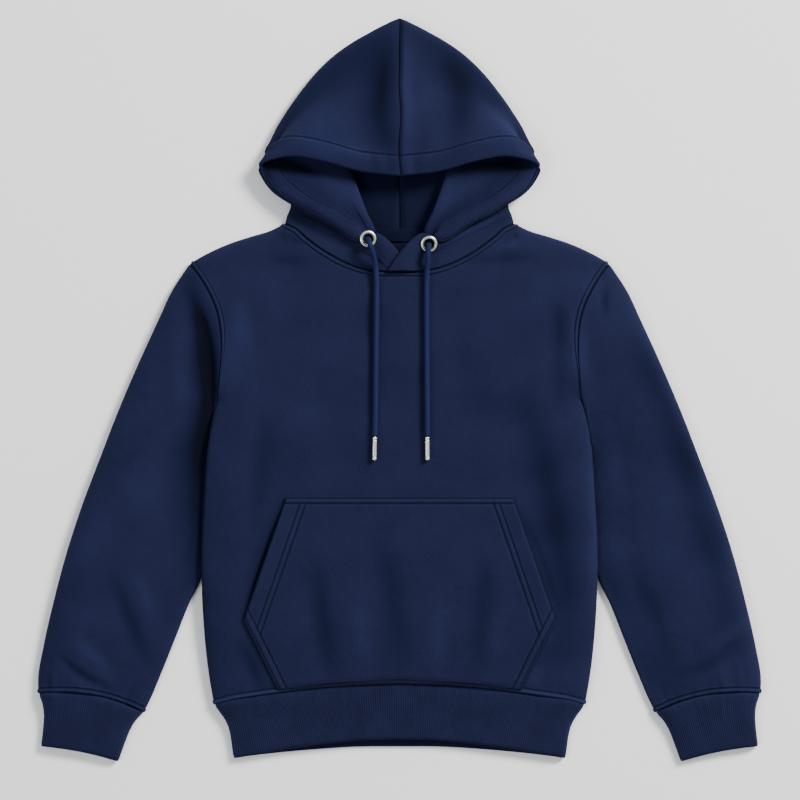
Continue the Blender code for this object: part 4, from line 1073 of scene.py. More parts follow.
def add_cuff(name, left, surface):
    """A ribbed tube: ribs as a raised cosine all round it, shallower where it rests."""
    ribs = int((CUFF[0][0] - CUFF[0][2]) / RIB_PITCH)
    shares = np.linspace(0, 1, 4 * ribs + 1)
    rows = np.linspace(0, 1, 18)
    inner_line = [(row[2], row[3], SLEEVE_EDGE) for row in CUFF]
    outer_line = [(row[0], row[1], SLEEVE_EDGE) for row in CUFF]
    folds = [Fold(inner_line, CUFF_REACH), Fold(outer_line, CUFF_REACH)]
    mid = tube(ring_plan(CUFF, shares, rows), folds)
    top = slice(0, len(shares))
    room = ease((mid[:, top, 2] - REST - 2) / 5)
    seen = sided(mid[:, top, :2], left)
    mid[:, top, 2] += room * (ripple(seen, 31 if left else 32, 0.9)
                              + gathers(run(mid, 1)[:1, top], rows[:, None] * GATHERED, 4, 0.8))
    wave = rib_wave(ribs * np.concatenate([shares, shares[-2:0:-1]]))
    away = run(mid, 0)
    detail, hollow_shade = rib_relief(away, away[-1:] - away, wave)
    outer, inner = walls(mid, tube_normals(mid), RIB_WALL, detail)
    # Painted light and shade over the cuff
    painted_shading = shade_of(sided(mid, left), np.zeros(away.shape), SLEEVE_PAINTED_SHADING)
    return add_tube(name, outer, inner, left, surface, hollow_shade, painted_shading, [], "rib_knit")


# ---------------------------------------------------------------- pocket


def side_distance(xy, start, end):
    """Distance to the inner side of the endless line through two points."""
    way = unit(np.array(end, float) - start)
    return np.abs((xy[..., 0] - start[0]) * way[1] - (xy[..., 1] - start[1]) * way[0])


def pocket_plan(u, v):
    """Plan of the pocket: u from side to side, v from the hem seam to its top, with the corner at
    the share of v where its height lies."""
    corner = (POCKET_CORNER[1] - POCKET_FOOT[1]) / (POCKET_TOP[1] - POCKET_FOOT[1])
    half = np.interp(v, [0, corner, 1], [POCKET_FOOT[0], POCKET_CORNER[0], POCKET_TOP[0]])
    x = half[:, None] * u[None]
    foot = smooth(HEM_SEAM, np.abs(u) * POCKET_FOOT[0] / HEM_SEAM[-1][0])[:, 1] + POCKET_RISE
    y = foot[None] + (POCKET_TOP[1] - foot[None]) * v[:, None]
    drop = foot[None] + (POCKET_TOP[1] - foot[None]) * corner - POCKET_CORNER[1]
    y = y - drop * (1 - np.abs(v[:, None] - corner) / np.maximum(corner, 1 - corner))
    return np.stack([x, y], -1)


def add_pocket(surface):
    """The kangaroo pocket, a crowned panel over the front, with its hems and stitched edges."""
    u = 2 * crowded(171, 0.5) - 1
    low = np.linspace(0, POCKET_BREAK, 36)
    v = np.concatenate([low[:-1], POCKET_BREAK + (1 - POCKET_BREAK) * crowded(64, 0.3)])
    plan = pocket_plan(u, v)
    own = creases(plan, POCKET_CREASES)
    bumps = body_bumps(plan, True) + own - np.minimum(own, 0)
    mid, normals = layer(plan, BODY_FOLDS, True, 0, False, bumps)
    flat = folded(plan)
    puff = POCKET_PUFF * np.sin(np.pi * v)[:, None] * (1 - u[None] ** 4)
    far, share = line_distance(flat, [POCKET_TOP, POCKET_CORNER])
    puff += 2.4 * bell(far, 13) * np.sin(np.pi * share)
    mid = mid + normals * (WALL + POCKET_GAP + puff)[..., None]
    foot = smooth(HEM_SEAM, SPREAD * POCKET_FOOT[0] / HEM_SEAM[-1][0]) + (0, POCKET_RISE)
    top = line_distance(flat, [(0, POCKET_TOP[1]), POCKET_TOP])[0]
    mouth = side_distance(flat, POCKET_TOP, POCKET_CORNER)
    lower = side_distance(flat, POCKET_CORNER, POCKET_FOOT)
    bottom = line_distance(flat, foot)[0]
    edge = np.minimum(np.minimum(top, mouth), np.minimum(lower, bottom))
    detail = -1.2 * bell(edge, 1.5)
    sides = [(lower, level) for level in SIDE_LINES]
    sewn = [(mouth, level) for level in MOUTH_LINES] + [(top, TOP_LINE)] + sides + [(bottom, FOOT_LINE)]
    for field, level in sewn:
        detail += groove(field, 0.5, 1.0, level)
    detail += (welt(mouth, 0.5, MOUTH_LINES[1], 0.5) + welt(top, 0.5, TOP_LINE, 0.6)
               + welt(lower, 0.5, SIDE_LINES[1], 0.5))
    outer, inner = walls(mid, normals, WALL, detail)
    over_band = np.where((lower > 11) & (top > 7), mouth, NOWHERE)
    banded = [(over_band, level) for level in MOUTH_LINES]
    middle = len(u) // 2
    for half in (slice(0, middle), slice(middle, len(u))):
        for field, level in banded + sides:
            lines.append(contour(outer[:, half], field[:, half], level, 1))
    lines.append(contour(outer[len(low):], top[len(low):], TOP_LINE, 0))
    drawn = banded + [(top, TOP_LINE)] + sides + [(field, 0.2) for field in (top, mouth, lower, bottom)]
    # Painted light and shade over the pocket, and painted shade in its seams' dips
    painted_shading = shade_of(mid, own)
    hollow_shade = hollow_of(detail, 1.0)
    made = shell("pocket", outer, inner, surface, hollow_shade=hollow_shade, painted_shading=painted_shading, seams=drawn)
    return finish(made, "pocket", "brushed_fleece")


def blended(a, b, share):
    return np.asarray(a, float) * (1 - share) + np.asarray(b, float) * share


def fold_points(tip, back, upper_z, lower_z, length=15.0):
    """Four control points of a folded edge in plan: in towards the cloth, tip, tip, and in again."""
    tip, back = np.asarray(tip, float), np.asarray(back, float)
    inward = unit(back - tip) * min(length, np.linalg.norm(back - tip) * 0.45)
    near = tip + inward
    return [(*near, upper_z), (*tip, upper_z), (*tip, lower_z), (*near, lower_z)]


def hood_section(row):
    """Control points of one section of the hood, from the mouth's rim to the back seam."""
    rim, ridge_z, stitch = np.array(row[0:3]), row[3], np.array(row[4:7])
    outline, roll, side, back_y = row[7:9], row[9:12], row[12:14], row[14]
    ridge = np.array([*blended(rim[:2], stitch[:2], 0.45), ridge_z])
    back = np.array([0.2, back_y, REST])
    pleated = roll[2] > 0
    crowned = outline[1] > 0
    points = [rim, ridge, stitch]
    if crowned:
        crest = blended(stitch, (*outline, stitch[2]), 0.5) - (0, 0, 2)
        target = roll[:2] if pleated else back[:2]
        low = REST if not pleated else REST + 5.5
        points += [crest]
        points += fold_points(outline, stitch[:2] if not pleated else target, HOOD_EDGE + 9, low, 18)
    else:
        spread = [blended(stitch, roll, share) for share in (0.12, 0.26, 0.4, 0.54, 0.68)]
        for share, point in zip((0.12, 0.26, 0.4, 0.54, 0.68), spread):
            point[2] -= 12 * share * (1 - share) * (roll[2] < stitch[2] - 1)
        points += spread
    if pleated:
        before = points[-1]
        collar = roll[2] - 6.5
        side_z = min(8.5, collar)
        points.append(blended(before, roll, 0.5))
        flat = stitch[1] < rim[1]
        if flat:
            far = blended((*roll[:2], roll[2]), (*side, side_z), 0.35)
            points += [blended(roll, far, share) for share in (0.1, 0.3, 0.55, 0.8)]
            collar = roll[2] - 1
        else:
            points += fold_points(roll[:2], blended(before[:2], side, 0.4), roll[2], collar, 14)
        points.append(np.array([*blended(roll[:2], side, 0.6), blended(collar, side_z, 0.45) + 1.5]))
        points += fold_points(side, roll[:2], side_z, REST, 14)
        points.append(np.array([*blended(side, back[:2], 0.5), REST]))
    else:
        start = points[-1]
        points += [blended(start, back, share) for share in np.linspace(0, 1, 12)[1:-1]]
    points.append(back)
    return np.array([np.asarray(point, float) for point in points])


def b_spline(control, places):
    """Quadratic B-spline through the mid points of the control polygon, which starts and ends on
    its end points. A place counts control legs from the start."""
    ends = np.concatenate([control[:1] * 2 - control[1:2], control, control[-1:] * 2 - control[-2:-1]])
    k = np.clip(np.floor(places + 0.5).astype(int), 0, len(control) - 1)
    t = (places + 0.5 - k)[:, None]
    a, b, c = ends[k], ends[k + 1], ends[k + 2]
    return 0.5 * ((1 - t) ** 2 * a + (1 + 2 * t - 2 * t * t) * b + t * t * c)


def on_edge(points, normals, shares):
    """Points and normals at shares of the length of a chain of straight edges."""
    steps = np.linalg.norm(np.diff(points, axis=0), axis=1)
    at = np.concatenate([[0], np.cumsum(steps)]) / steps.sum()
    return between(points, at, shares), unit(between(normals, at, shares))


def near_shoulder(row):
    """How near each point of the neck is to its corner at the shoulder, from 0 to 1."""
    return ease((row[:, 0] - 104) / 28)


def neck_row(places, lengths):
    """The hood's first row, just inside the neck of both body panels: from the V along the front
    to the side fold, then along the back to the centre, with its normals."""
    tip = int(np.searchsorted(places, SIDE_TIP))
    edge, facing = neck_edge(True)
    across_centre = slice(NECK_OVER, 0, -1)
    edge = np.concatenate([edge[across_centre] * (-1, 1, 1), edge])
    facing = np.concatenate([facing[across_centre] * (-1, 1, 1), facing])
    whole = np.linalg.norm(np.diff(edge, axis=0), axis=1).sum()
    start = (edge[0, 0] * -1 - FLAP_START) / whole
    ahead, ahead_normals = on_edge(edge, facing, start + (1 - start) * lengths[: tip + 1] / lengths[tip])
    edge, facing = neck_edge(False)
    back_share = (lengths[tip:] - lengths[tip]) / (lengths[-1] - lengths[tip])
    behind, behind_normals = on_edge(edge[::-1], facing[::-1], back_share)
    for row, turn_sign in ((ahead, 1), (behind, -1)):
        along = across(row[:, :2], 0)
        step = turn_sign * (SEAM + NECK_NOTCH * near_shoulder(row))
        row[:, :2] += step[:, None] * np.stack([-along[:, 1], along[:, 0]], -1)
    ahead[:, 2] += TIP_SPREAD * ease((ahead[:, 0] - 128) / 12)
    behind[:, 2] = np.maximum(behind[:, 2] - 2 * TIP_SPREAD * ease((behind[:, 0] - 128) / 12), REST)
    behind[-1, 0] = -CENTRE_LAP
    behind[0] = (*(ahead[-1] + behind[0])[:2] / 2, HOOD_EDGE)
    row = np.concatenate([ahead[:-1], behind])
    normals = np.concatenate([ahead_normals[:-1], behind_normals])
    return row, normals


def between_rows(stations, steps):
    """Rows between the stations, on a cubic through them with the mean of the neighbours' steps."""
    slopes = np.gradient(stations, axis=0)
    k = np.clip(np.floor(steps).astype(int), 0, len(stations) - 2)
    t = (np.asarray(steps) - k)[:, None, None]
    return cubic(stations[k], stations[k + 1], slopes[k], slopes[k + 1], t)


def relaxed(points, rounds):
    """The grid with every inner point moved half way to the mean of its four neighbours, a number
    of times, which softens pinches; its edges stay."""
    points = points.copy()
    for _ in range(rounds):
        points[1:-1, 1:-1] += 0.5 * (mean_beside(points) - points[1:-1, 1:-1])
    return points


def hood_layer(places, steps, lap):
    """Middle surface, normals and wall thickness of the right hood half. The lap lifts its flap."""
    drawn = np.stack([b_spline(hood_section(row), places) for row in HOOD])
    first, first_normals = neck_row(places, run(drawn[0], 0))
    mid = between_rows(np.concatenate([first[None], drawn]), steps)
    flap = (1 - ease((steps - 1.8) / 1.4))[:, None] * (mid[..., 2] > FLAP_HEIGHT)
    mid[..., 2] += lap * ease((46 - mid[..., 0]) / 40) * flap
    mid = relaxed(mid, HOOD_RELAX)
    along = run(mid, 1)
    thickness = WALL + CASING_EXTRA * (1 - ease((along - CASING + 3) / 6))
    normals = unit(np.cross(across(mid, 1), across(mid, 0)))
    own = near_shoulder(first)[:, None]
    normals[0] = unit(first_normals * (1 - own) + normals[1] * own)
    return mid, normals, thickness, along


def casing_line(along, steps, level):
    """A seam line at that distance from the mouth's rim, from the step on at which it shows."""
    return (along - level) * np.where(steps[:, None] < LINE_START, 99, 1), 0.0


def hood_walls(places, steps, left):
    """Outer and inner points of a hood half, drawn as the right one and cut off at the centre
    seam: seams dip, the turned hem's rim is round, and the eyelet sinks into its flap."""
    mid, normals, thickness, along = hood_layer(places, steps, 0 if left else LAP_LIFT)
    over_neck = run(mid, 0)
    edge = turn(np.clip(along / (thickness / 2), 0, 1)) * 0.8 + 0.2
    layered = places[None] < 7.4
    seen = sided(mid[..., :2], left)
    lift = np.where(layered & (steps[:, None] > 7), creases(seen, CROWN_CREASES), 0)
    lift = lift + np.where(layered, ripple(seen, 41 if left else 42, 0.5), 0)
    lift = lift * ease((mid[..., 2] - 8) / 8)
    to_crown = run_back(mid, 0)
    detail = groove(along, 0.6, 1.1, CASING) * ease((steps[:, None] - 2.6) / 1.4)
    detail += groove(over_neck, 0.9, 1.6)
    detail += groove(to_crown, 0.9, 1.2) + groove(run_back(mid, 1), 0.9, 1.5)
    centre = sided(np.array(LEFT_EYELET if left else RIGHT_EYELET), left)
    near = np.linalg.norm(mid[..., :2] - centre, axis=-1)
    on_casing = along < CASING + 8
    hole = (near < EYELET_BORE + 0.6) & on_casing
    flap = on_casing & (mid[..., 2] > FLAP_HEIGHT)
    detail -= np.where(flap, 1.6 * bell(near, 9.5), 0)
    under = groove(along, 0.5, 1.1, CASING)
    outer = mid + normals * (thickness / 2 * edge + detail + lift)[..., None]
    inner = mid - normals * (thickness / 2 * edge + under - lift)[..., None]
    crossing = (steps[:, None] < 3) & (mid[..., 2] > 9)
    sway = 1.1 * np.sin(mid[..., 1] / 13.0) * bell(mid[..., 0], 14)
    sway = sway * (steps[:, None] > 8) * ease((430 - mid[..., 1]) / 40) * (-1 if left else 1)
    closing = 0.35 * np.maximum(ease(places[None] - 18), ease(steps[:, None] - 12))
    for side in (outer, inner):
        side[..., 0] -= closing
        side[..., 0] = np.where(crossing, side[..., 0], np.maximum(side[..., 0], -CENTRE_LAP)) + sway
        half = np.interp(side[..., 1], *np.transpose(HOOD_HALF))
        trim = np.interp(side[..., 1], *np.transpose(HOOD_TRIM), left=0)
        side[..., 0] += trim * ease((side[..., 0] - 0.55 * half) / (0.4 * half))
    # Painted shade: the cloth in the eyelet's bore is painted nearly black as the dark of the hole, and
    # the relief's dips darker
    hollow_shade = np.where(hole, 1.5, hollow_of(detail))
    seams = [casing_line(along, steps, CASING), (over_neck, 0.0), (to_crown, -0.5)]
    # The last value returned is the painted light and shade of its outer face
    return outer, inner, hollow_shade, shade_of(sided(mid, left), lift, HOOD_PAINTED_SHADING), along, seams


def add_hood_half(name, left, surface):
    """Half of the hood, with the stitch line of its casing and the painted shade inside it."""
    outer, inner, hollow_shade, painted_shading, along, seams = hood_walls(HOOD_PLACES, HOOD_STEPS, left)
    lining = [casing_line(along, HOOD_STEPS, level) for level in (2.2, 5.4, CASING)]
    lining += [(run_back(inner, 1), -0.3)]
    sewn = HOOD_STEPS > LINE_START
    for face in (outer, inner):
        lines.append(sided(contour(face[sewn, :60], along[sewn, :60], CASING, 1), left))
    if left:
        outer, inner, hollow_shade, painted_shading = backwards(sided(outer, True), sided(inner, True), hollow_shade, painted_shading)
        seams, lining = seams_backwards(seams), seams_backwards(lining)
    # Painted light and shade on the inner face, by the distance from the rim, with painted shade under
    # the lip and an even painted shade from place 12 on
    inside = 0.1 - 0.4 * ease((along - 8) / 20) + 0.7 * ease((along - 40) / 45)
    inside = inside + creases(np.abs(inner[..., :2]), LINING_PAINTED_SHADE)
    inside = np.maximum(np.where(HOOD_PLACES[None] < 12, inside, -0.65), DARKEST_PAINTED)
    inside = inside[:, ::-1] if left else inside
    made = shell(name, outer, inner, surface, hollow_shade=hollow_shade, painted_shading=painted_shading, seams=seams, lining=lining,
                 inside=inside)
    return finish(made, name, "brushed_fleece")


# ---------------------------------------------------------------- neck tape, eyelets and cord


def add_tape(surface):
    """A flat strip over the back neck seam, on the inside of the hood and of the back panel."""
    u = np.linspace(-1, 1, 121)
    seam = smooth(BACK_NECK, np.abs(u) * TAPE_HALF / BACK_NECK[-1][0])
    v = np.linspace(-1, 1, 13)
    plan = np.stack([np.stack([u * TAPE_HALF, seam[:, 1] + side * TAPE_WIDTH / 2], -1) for side in v])
    under = np.concatenate([plan, np.full(plan.shape[:2] + (1,), WALL + GAP + 0.2)], -1)
    from_edge = (1 - np.abs(v)) * TAPE_WIDTH / 2
    edge = 1 - 0.75 * bell(from_edge, 0.8)
    stitched = groove(from_edge, 0.35, 0.7, 2.2)
    over = under + np.array([0, 0, 1]) * ((TAPE + 0.3) * edge + stitched)[:, None, None]
    for level in (-0.75, 0.75):
        lines.append(contour(over, np.repeat(v[:, None], len(u), 1), level, 0))
    # How much painted shade the stitches' groove gets
    hollow_shade = np.repeat(hollow_of(stitched, 0.35)[:, None], len(u), 1)
    return finish(shell("neck_tape", over, under, surface, hollow_shade=hollow_shade), "neck_tape", "neck_tape_twill")


def seat(centre, lean, left):
    """Where an eyelet's base lies: the middle and normal of a leaning plane that clears the cloth
    of its flap, on whichever side of the fold that lies uppermost."""
    places = np.concatenate([np.linspace(0, 5, 41), HOOD_PLACES[HOOD_PLACES > 5]])
    sides = hood_walls(places, np.linspace(0.6, 3.2, 53), left)[:2]
    points = sided(np.concatenate([side.reshape(-1, 3) for side in sides]), left)
    near = np.linalg.norm(points[:, :2] - centre, axis=1) < EYELET_OUTER + 0.5
    normal = unit(np.array([*lean, 1.0]))
    middle = np.array([*centre, 0.0])
    return middle + np.array([0, 0, 1]) * ((points[near] - middle) @ normal).max() / normal[2], normal


def add_eyelet(name, centre, lean, left, surface):
    """A turned ring with a rolled top and a funnel down into the hole that the cord comes out of."""
    base, normal = seat(centre, lean, left)
    bore, rim, height = EYELET_BORE, EYELET_OUTER, EYELET_HEIGHT
    round_top = np.linspace(0, np.pi, 13)
    middle, half = (bore + rim) / 2, (rim - bore) / 2
    top = [(middle + half * np.cos(a), 0.1 + height * 0.95 * np.sin(a) ** 0.8) for a in round_top]
    outside = bore + EYELET_WALL
    profile = top + [(bore, -FUNNEL), (outside, -FUNNEL), (outside, -FLANGE), (rim - 0.3, -FLANGE)]
    made = turned_ring(name, profile[::-1], base, normal, EYELET_SIDES, surface)
    return finish(made, name, "nickel")


def add_cord(name, route, surface):
    """A knitted cord along a smooth curve through its route: fine loops stand out round it as
    slanting ridges, and both its ends round off."""
    shares = np.concatenate([np.linspace(0, 0.3, 90), np.linspace(0.3, 1, 221)[1:]])
    points = smooth(route, shares)
    length = run(points, 0)
    ends = np.minimum(length, length[-1] - length)
    rounding = turn(ends / CORD_END)
    radii = CORD / 2 * (0.12 + 0.88 * rounding)
    angles = np.linspace(0, 2 * np.pi, CORD_SIDES, endpoint=False)
    round_it, along_it = CORD_LOOPS * angles[None], 2 * np.pi * length[:, None] / LOOP_PITCH
    loops = np.maximum(np.sin(round_it + along_it), np.sin(round_it - along_it))
    relief = LOOP_HEIGHT * loops * rounding[:, None]
    made = swept_tube(name, points, radii, angles, surface, relief)
    finish(made, name, "cord_knit")
    path = [tuple(point) for point in (smooth(route, np.linspace(0, 1, 33)) * MM).tolist()]
    return made


def add_aglet(name, route, surface):
    """A metal tube crimped round the cord's tip: round ends, two pressed rings, and the closed
    seam of the tube along its top."""
    tip, before = np.array(route[-1], float), np.array(route[-2], float)
    along = unit(tip - before)
    far = np.linspace(0, AGLET_LENGTH, 61)
    ends = np.minimum(far, AGLET_LENGTH - far)
    radius = AGLET_WIDTH / 2 * (0.1 + 0.9 * turn(ends / 0.9))
    for place, depth in AGLET_RINGS:
        radius = radius - depth * bell(far - place, 0.8)
    angles = np.linspace(0, 2 * np.pi, AGLET_SIDES, endpoint=False)
    lapped = -AGLET_LAP * bell(angles - np.pi / 2, 0.17) * ease(ends / 2)[:, None]
    made = swept_tube(name, tip + along * (GAP + far)[:, None], radius, angles, surface, lapped)
    return finish(made, name, "nickel")


# ---------------------------------------------------------------- materials


def linear(colour):
    """An sRGB hex colour as linear red, green, blue, alpha."""
    parts = [int(colour[k : k + 2], 16) / 255 for k in (1, 3, 5)]
    return [c / 12.92 if c <= 0.04045 else ((c + 0.055) / 1.055) ** 2.4 for c in parts] + [1.0]


def add_node(tree, kind, inputs, **settings):
    """Adds a node with its settings, and links or sets its inputs."""
    made = tree.nodes.new("ShaderNode" + kind)
    for name, value in settings.items():
        setattr(made, name, value)
    for key, value in inputs.items():
        if isinstance(value, bpy.types.NodeSocket):
            tree.links.new(value, made.inputs[key])
        else:
            made.inputs[key].default_value = value
    return made


def new_material(name):
    made = bpy.data.materials.new(name)
    made.use_nodes = True
    made.node_tree.nodes.clear()
    return made, made.node_tree


def flat_map(tree, name="cloth"):
    return add_node(tree, "UVMap", {}, uv_map=name).outputs[0]


def own_place(tree):
    return add_node(tree, "TexCoord", {}).outputs["Object"]


def value_of(tree, name):
    return add_node(tree, "Attribute", {}, attribute_name=name).outputs["Fac"]


def surface_of(tree, colour, normal, roughness, **sockets):
    """The shader with its output. Values that are the same all over are set on its sockets."""
    inputs = {"Base Color": colour, "Normal": normal, "Roughness": roughness, **sockets}
    shader = add_node(tree, "BsdfPrincipled", inputs)
    add_node(tree, "OutputMaterial", {"Surface": shader.outputs[0]})


def noise(tree, place, size_mm, detail=2.0, rough=0.5):
    """Cloudy pattern with blobs of about that size."""
    found = add_node(tree, "TexNoise", {"Vector": place, "Scale": 1000.0 / size_mm, "Detail": detail,
                                        "Roughness": rough})
    return found.outputs["Fac"]


def bands(tree, place, pitch_mm, direction, distortion):
    """Parallel rounded bands at that pitch: the sine of 20 times the scaled coordinate."""
    found = add_node(tree, "TexWave", {"Vector": place, "Scale": 2 * np.pi / 20 / (pitch_mm * MM),
                                       "Distortion": distortion, "Detail": 1.0, "Detail Scale": 2.0},
                     bands_direction=direction)
    return found.outputs["Fac"]


def mixed(tree, factor, first, second):
    found = add_node(tree, "Mix", {0: factor, 6: first, 7: second}, data_type="RGBA")
    return found.outputs[2]


def dyed(tree, share, dark, light):
    """A colour between two given as sRGB hex."""
    return mixed(tree, share, linear(dark), linear(light))


def scaled(tree, value, factor, added=0.0):
    return math(tree, "MULTIPLY_ADD", value, factor, added)


def math(tree, operation, *values):
    return add_node(tree, "Math", dict(enumerate(values)), operation=operation).outputs[0]


def total(tree, first, second):
    return math(tree, "ADD", first, second)


def dimmed(tree, colour, factor):
    """The colour times one factor, above one for a brighter colour."""
    return add_node(tree, "VectorMath", {0: colour, 3: factor}, operation="SCALE").outputs[0]


def ramp(tree, value, start, end, first, last, **settings):
    """The value's place between start and end, as one between first and last."""
    inputs = dict(enumerate((value, start, end, first, last)))
    return add_node(tree, "MapRange", inputs, **settings).outputs[0]


def bump(tree, height, depth_mm, strength, normal=None):
    inputs = {"Height": height, "Distance": depth_mm * MM, "Strength": strength}
    if normal is not None:
        inputs["Normal"] = normal
    return add_node(tree, "Bump", inputs).outputs[0]


def with_painted_shading(tree, colour, strength):
    """The colour made brighter by painted light and darker by painted shade, which also makes it bluer.
    """
    painted_shading = value_of(tree, "painted_shading")
    bluer = add_node(tree, "VectorMath", {0: colour, 1: SHADE_TINT}, operation="MULTIPLY").outputs[0]
    colour = mixed(tree, ramp(tree, painted_shading, 0.0, -1.0, 0.0, 1.0), colour, bluer)
    return dimmed(tree, colour, scaled(tree, painted_shading, strength, 1.0))


def seam_lines(tree):
    """How near a seam line is, from 0 at 1.25 mm to 1 at 0.4 mm, the same for the painted highlight 2.6
    mm beside it, and the height of its groove's sides."""
    parts = add_node(tree, "SeparateXYZ", {0: flat_map(tree, "seam")})
    away = math(tree, "ABSOLUTE", parts.outputs[0])
    soft = {"interpolation_type": "SMOOTHSTEP"}
    near = ramp(tree, away, 0.4, 1.25, 1.0, 0.0, **soft)
    off_edge = math(tree, "ABSOLUTE", math(tree, "SUBTRACT", away, 2.6))
    beside = ramp(tree, off_edge, 0.0, 1.4, 1.0, 0.0, **soft)
    height = ramp(tree, away, 0.0, 2.2, 0.0, 1.0, **soft)
    return near, beside, height


def brushed_fleece():
    """Cotton fleece, piece-dyed navy and washed: fine knitted wales 1.4 mm apart under a short pile,
    which scatters light softly at grazing angles. Painted light lies on its ridges, painted shade in its
    hollows and seams."""
    made, tree = new_material("brushed_fleece_cotton")
    cloth = flat_map(tree)
    place = own_place(tree)
    hollow_shade = value_of(tree, "hollow_shade")
    clouds = noise(tree, place, 30, 4.0, 0.6)
    flecks = noise(tree, cloth, 2.2, 3.0, 0.7)
    shares = total(tree, scaled(tree, clouds, 0.35, 0.1), scaled(tree, flecks, 0.75, -0.15))
    colour = dyed(tree, shares, FLEECE_DARK, FLEECE_LIGHT)
    # Painted light and shade, then painted shade in the relief's dips and in the eyelet's hole
    colour = with_painted_shading(tree, colour, 0.75)
    colour = mixed(tree, scaled(tree, hollow_shade, 0.55), colour, linear(FLEECE_SHADE))
    near, beside, groove_height = seam_lines(tree)
    # A painted highlight beside each seam line, and painted shade in the seam line itself
    seam_highlighted = dimmed(tree, colour, scaled(tree, beside, 0.2, 1.0))
    colour = mixed(tree, scaled(tree, near, 0.62), seam_highlighted, linear(FLEECE_SHADE))
    wales = bands(tree, cloth, 1.4, "X", 0.6)
    pile = noise(tree, cloth, 0.9, 3.0, 0.7)
    fine = bump(tree, total(tree, scaled(tree, wales, 0.5), pile), 0.35, 0.6)
    # The pile clumps at 2.6 mm, drawn coarser than the real fibre so that it shows
    clumps = bump(tree, noise(tree, place, 2.6, 2.0, 0.6), 0.5, 0.55, fine)
    dents = bump(tree, noise(tree, place, 17, 3.0, 0.55), 2.2, 0.4, clumps)
    sewn = bump(tree, groove_height, 0.9, 0.8, dents)
    surface_of(tree, colour, sewn, 0.94, **{"Specular IOR Level": 0.09, "Sheen Weight": 0.04,
                                            "Sheen Roughness": 0.45, "Sheen Tint": linear(COTTON_SHEEN)})
    return made


def rib_knit():
    """Cotton rib knit with a little elastane: matt, with painted shade in the furrows between its ribs
    and small V-shaped loops 1.6 mm high along them."""
    made, tree = new_material("rib_knit_cotton")
    cloth = flat_map(tree)
    place = own_place(tree)
    hollow_shade = value_of(tree, "hollow_shade")
    clouds = noise(tree, place, 30, 3.0, 0.6)
    # Painted light and shade, then painted shade in the furrows between the ribs
    colour = with_painted_shading(tree, dyed(tree, clouds, RIB_DARK, RIB_LIGHT), 0.6)
    colour = mixed(tree, scaled(tree, hollow_shade, 0.48), colour, linear(RIB_FURROW_SHADE))
    loops = bands(tree, cloth, 1.6, "Y", 1.2)
    yarn = noise(tree, cloth, 0.8, 2.0, 0.7)
    fine = bump(tree, total(tree, scaled(tree, loops, 0.6), yarn), 0.35, 0.6)
    dents = bump(tree, noise(tree, place, 22, 2.0, 0.5), 1.6, 0.4, fine)
    surface_of(tree, colour, dents, 0.92, **{"Specular IOR Level": 0.15, "Sheen Weight": 0.05,
                                            "Sheen Roughness": 0.5, "Sheen Tint": linear(COTTON_SHEEN)})
    return made


def neck_tape_twill():
    """Cotton twill tape: tight diagonal wales 1.1 mm apart, flatter and duller than the fleece."""
    made, tree = new_material("neck_tape_cotton_twill")
    cloth = flat_map(tree)
    turned = add_node(tree, "Mapping", {"Vector": cloth, "Rotation": (0, 0, 0.9)}).outputs[0]
    hollow_shade = value_of(tree, "hollow_shade")
    wales = bands(tree, turned, 1.1, "X", 0.2)
    colour = dyed(tree, wales, TAPE_DARK, TAPE_LIGHT)
    # Painted shade in the stitches' groove
    colour = mixed(tree, scaled(tree, hollow_shade, 0.6), colour, linear(TAPE_GROOVE_SHADE))
    raised = bump(tree, total(tree, wales, noise(tree, cloth, 0.7)), 0.25, 0.6)
    surface_of(tree, colour, raised, 0.92, **{"Specular IOR Level": 0.1})
    return made


def cord_knit():
    """Polyester cord, knitted round a core: a little smoother and brighter than the cotton, with
    darker hollows between its loops."""
    made, tree = new_material("cord_knitted_polyester")
    around = flat_map(tree)
    place = own_place(tree)
    threads = noise(tree, place, 1.1, 2.0, 0.6)
    lengthwise = bands(tree, around, 2.6, "Y", 0.8)
    shares = total(tree, scaled(tree, threads, 0.6), scaled(tree, lengthwise, 0.4))
    colour = dyed(tree, shares, CORD_DARK, CORD_LIGHT)
    raised = bump(tree, total(tree, threads, lengthwise), 0.25, 0.6)
    surface_of(tree, colour, raised, 0.75, **{"Specular IOR Level": 0.16, "Sheen Weight": 0.04,
                                            "Sheen Roughness": 0.4, "Sheen Tint": linear(CORD_SHEEN)})
    return made


def nickel():
    """Nickel-plated brass, stamped and barrel-polished: a warm white mirror dulled by fine
    scratches, more so on some spots than others."""
    made, tree = new_material("nickel_plated_brass")
    place = own_place(tree)
    wear = noise(tree, place, 3.0, 4.0, 0.6)
    colour = dyed(tree, wear, NICKEL_DARK, NICKEL_LIGHT)
    roughness = scaled(tree, wear, 0.14, 0.26)
    scratches = bump(tree, noise(tree, place, 0.6, 3.0, 0.7), 0.02, 0.25)
    surface_of(tree, colour, scratches, roughness, **{"Metallic": 1.0})
    return made


def spun_thread():
    """Polyester sewing thread, spun and dyed to the cloth: slightly glossier than the fleece."""
    made, tree = new_material("thread_spun_polyester")
    place = own_place(tree)
    twist = noise(tree, place, 0.5, 1.0, 0.5)
    colour = dyed(tree, twist, THREAD_DARK, THREAD_LIGHT)
    surface_of(tree, colour, bump(tree, twist, 0.1, 0.5), 0.6, **{"Specular IOR Level": 0.15})
    return made


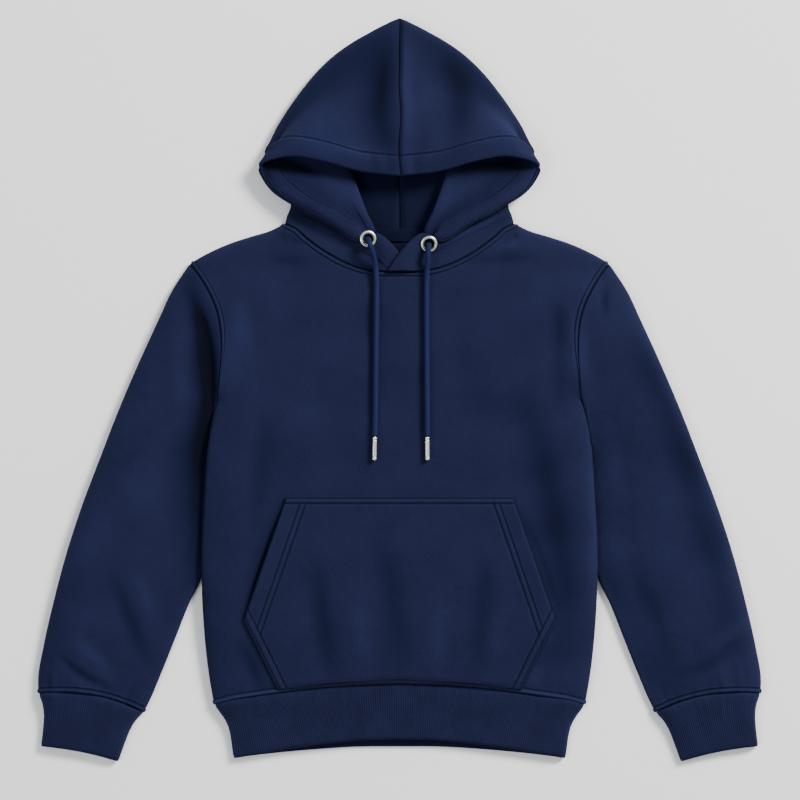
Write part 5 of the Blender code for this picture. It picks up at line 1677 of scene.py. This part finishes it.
def studio_floor():
    """Matt seamless paper in a pale warm grey."""
    made, tree = new_material("seamless_paper")
    place = own_place(tree)
    grain = noise(tree, place, 1.5, 2.0, 0.5)
    colour = dyed(tree, grain, FLOOR_DARK, FLOOR_LIGHT)
    surface_of(tree, colour, bump(tree, grain, 0.05, 0.3), 0.95, **{"Specular IOR Level": 0.1})
    return made


# ---------------------------------------------------------------- studio


def add_camera():
    """Straight down from four metres, with the field of view that the frame spans on the floor."""
    data = bpy.data.cameras.new("camera")
    data.sensor_width = SENSOR
    data.lens = SENSOR * CAMERA_HEIGHT / FIELD
    data.clip_end = 50
    made = bpy.data.objects.new("camera", data)
    made.location = (*FIELD_CENTRE, CAMERA_HEIGHT)
    bpy.context.scene.collection.objects.link(made)
    bpy.context.scene.camera = made


def add_light(name, place, size, power, colour):
    """A round lamp that faces the middle of the floor."""
    data = bpy.data.lights.new(name, "AREA")
    data.shape = "DISK"
    data.size, data.energy, data.color = size, power, colour
    made = bpy.data.objects.new(name, data)
    made.location = place
    way = -np.asarray(place, float)
    flat = np.hypot(way[0], way[1])
    made.rotation_euler = (np.arctan2(flat, -way[2]), 0, np.arctan2(way[1], way[0]) - np.pi / 2)
    bpy.context.scene.collection.objects.link(made)


def add_studio():
    """A pale world, a key and a fill lamp, and the floor."""
    world = bpy.data.worlds.new("studio")
    world.use_nodes = True
    inputs = world.node_tree.nodes["Background"].inputs
    inputs["Color"].default_value = linear(WORLD_COLOUR)
    inputs["Strength"].default_value = WORLD_STRENGTH
    bpy.context.scene.world = world
    add_light("key", KEY_PLACE, KEY_SIZE, KEY_POWER, KEY_COLOUR)
    add_light("fill", FILL_PLACE, FILL_SIZE, FILL_POWER, FILL_COLOUR)
    corners = np.array([(-1, -1, 0), (1, -1, 0), (1, 1, 0), (-1, 1, 0)], float) * FLOOR_HALF / MM
    flat = np.array([[0, 1, 2, 3]])
    floor = mesh_object("floor", corners - (0, 0, 0.3), flat, corners[flat][..., :2] * MM, studio_floor())


def main():
    """Builds every piece, cord ends before cloth, and then the studio."""
    metal, knit = nickel(), cord_knit()
    add_camera()
    for side, centre, lean, route, left in (
        ("left", LEFT_EYELET, LEFT_LEAN, LEFT_CORD, True),
        ("right", RIGHT_EYELET, RIGHT_LEAN, RIGHT_CORD, False),
    ):
        aglet = add_aglet("aglet_" + side, route, metal)
        add_cord("cord_" + side, route, knit)
        add_eyelet("eyelet_" + side, centre, lean, left, metal)
    fleece, rib = brushed_fleece(), rib_knit()
    add_body_panel("back", False, fleece)
    add_body_panel("front", True, fleece)
    add_hem_rib("hem_rib_back", BACK_RIB_END, False, rib)
    add_hem_rib("hem_rib_front", FRONT_RIB_END, True, rib)
    for side, left in (("left", True), ("right", False)):
        add_sleeve("sleeve_" + side, left, fleece)
        add_cuff("cuff_" + side, left, rib)
        add_hood_half("hood_" + side, left, fleece)
    add_pocket(fleece)
    add_tape(neck_tape_twill())
    add_topstitch(spun_thread())
    add_studio()


main()
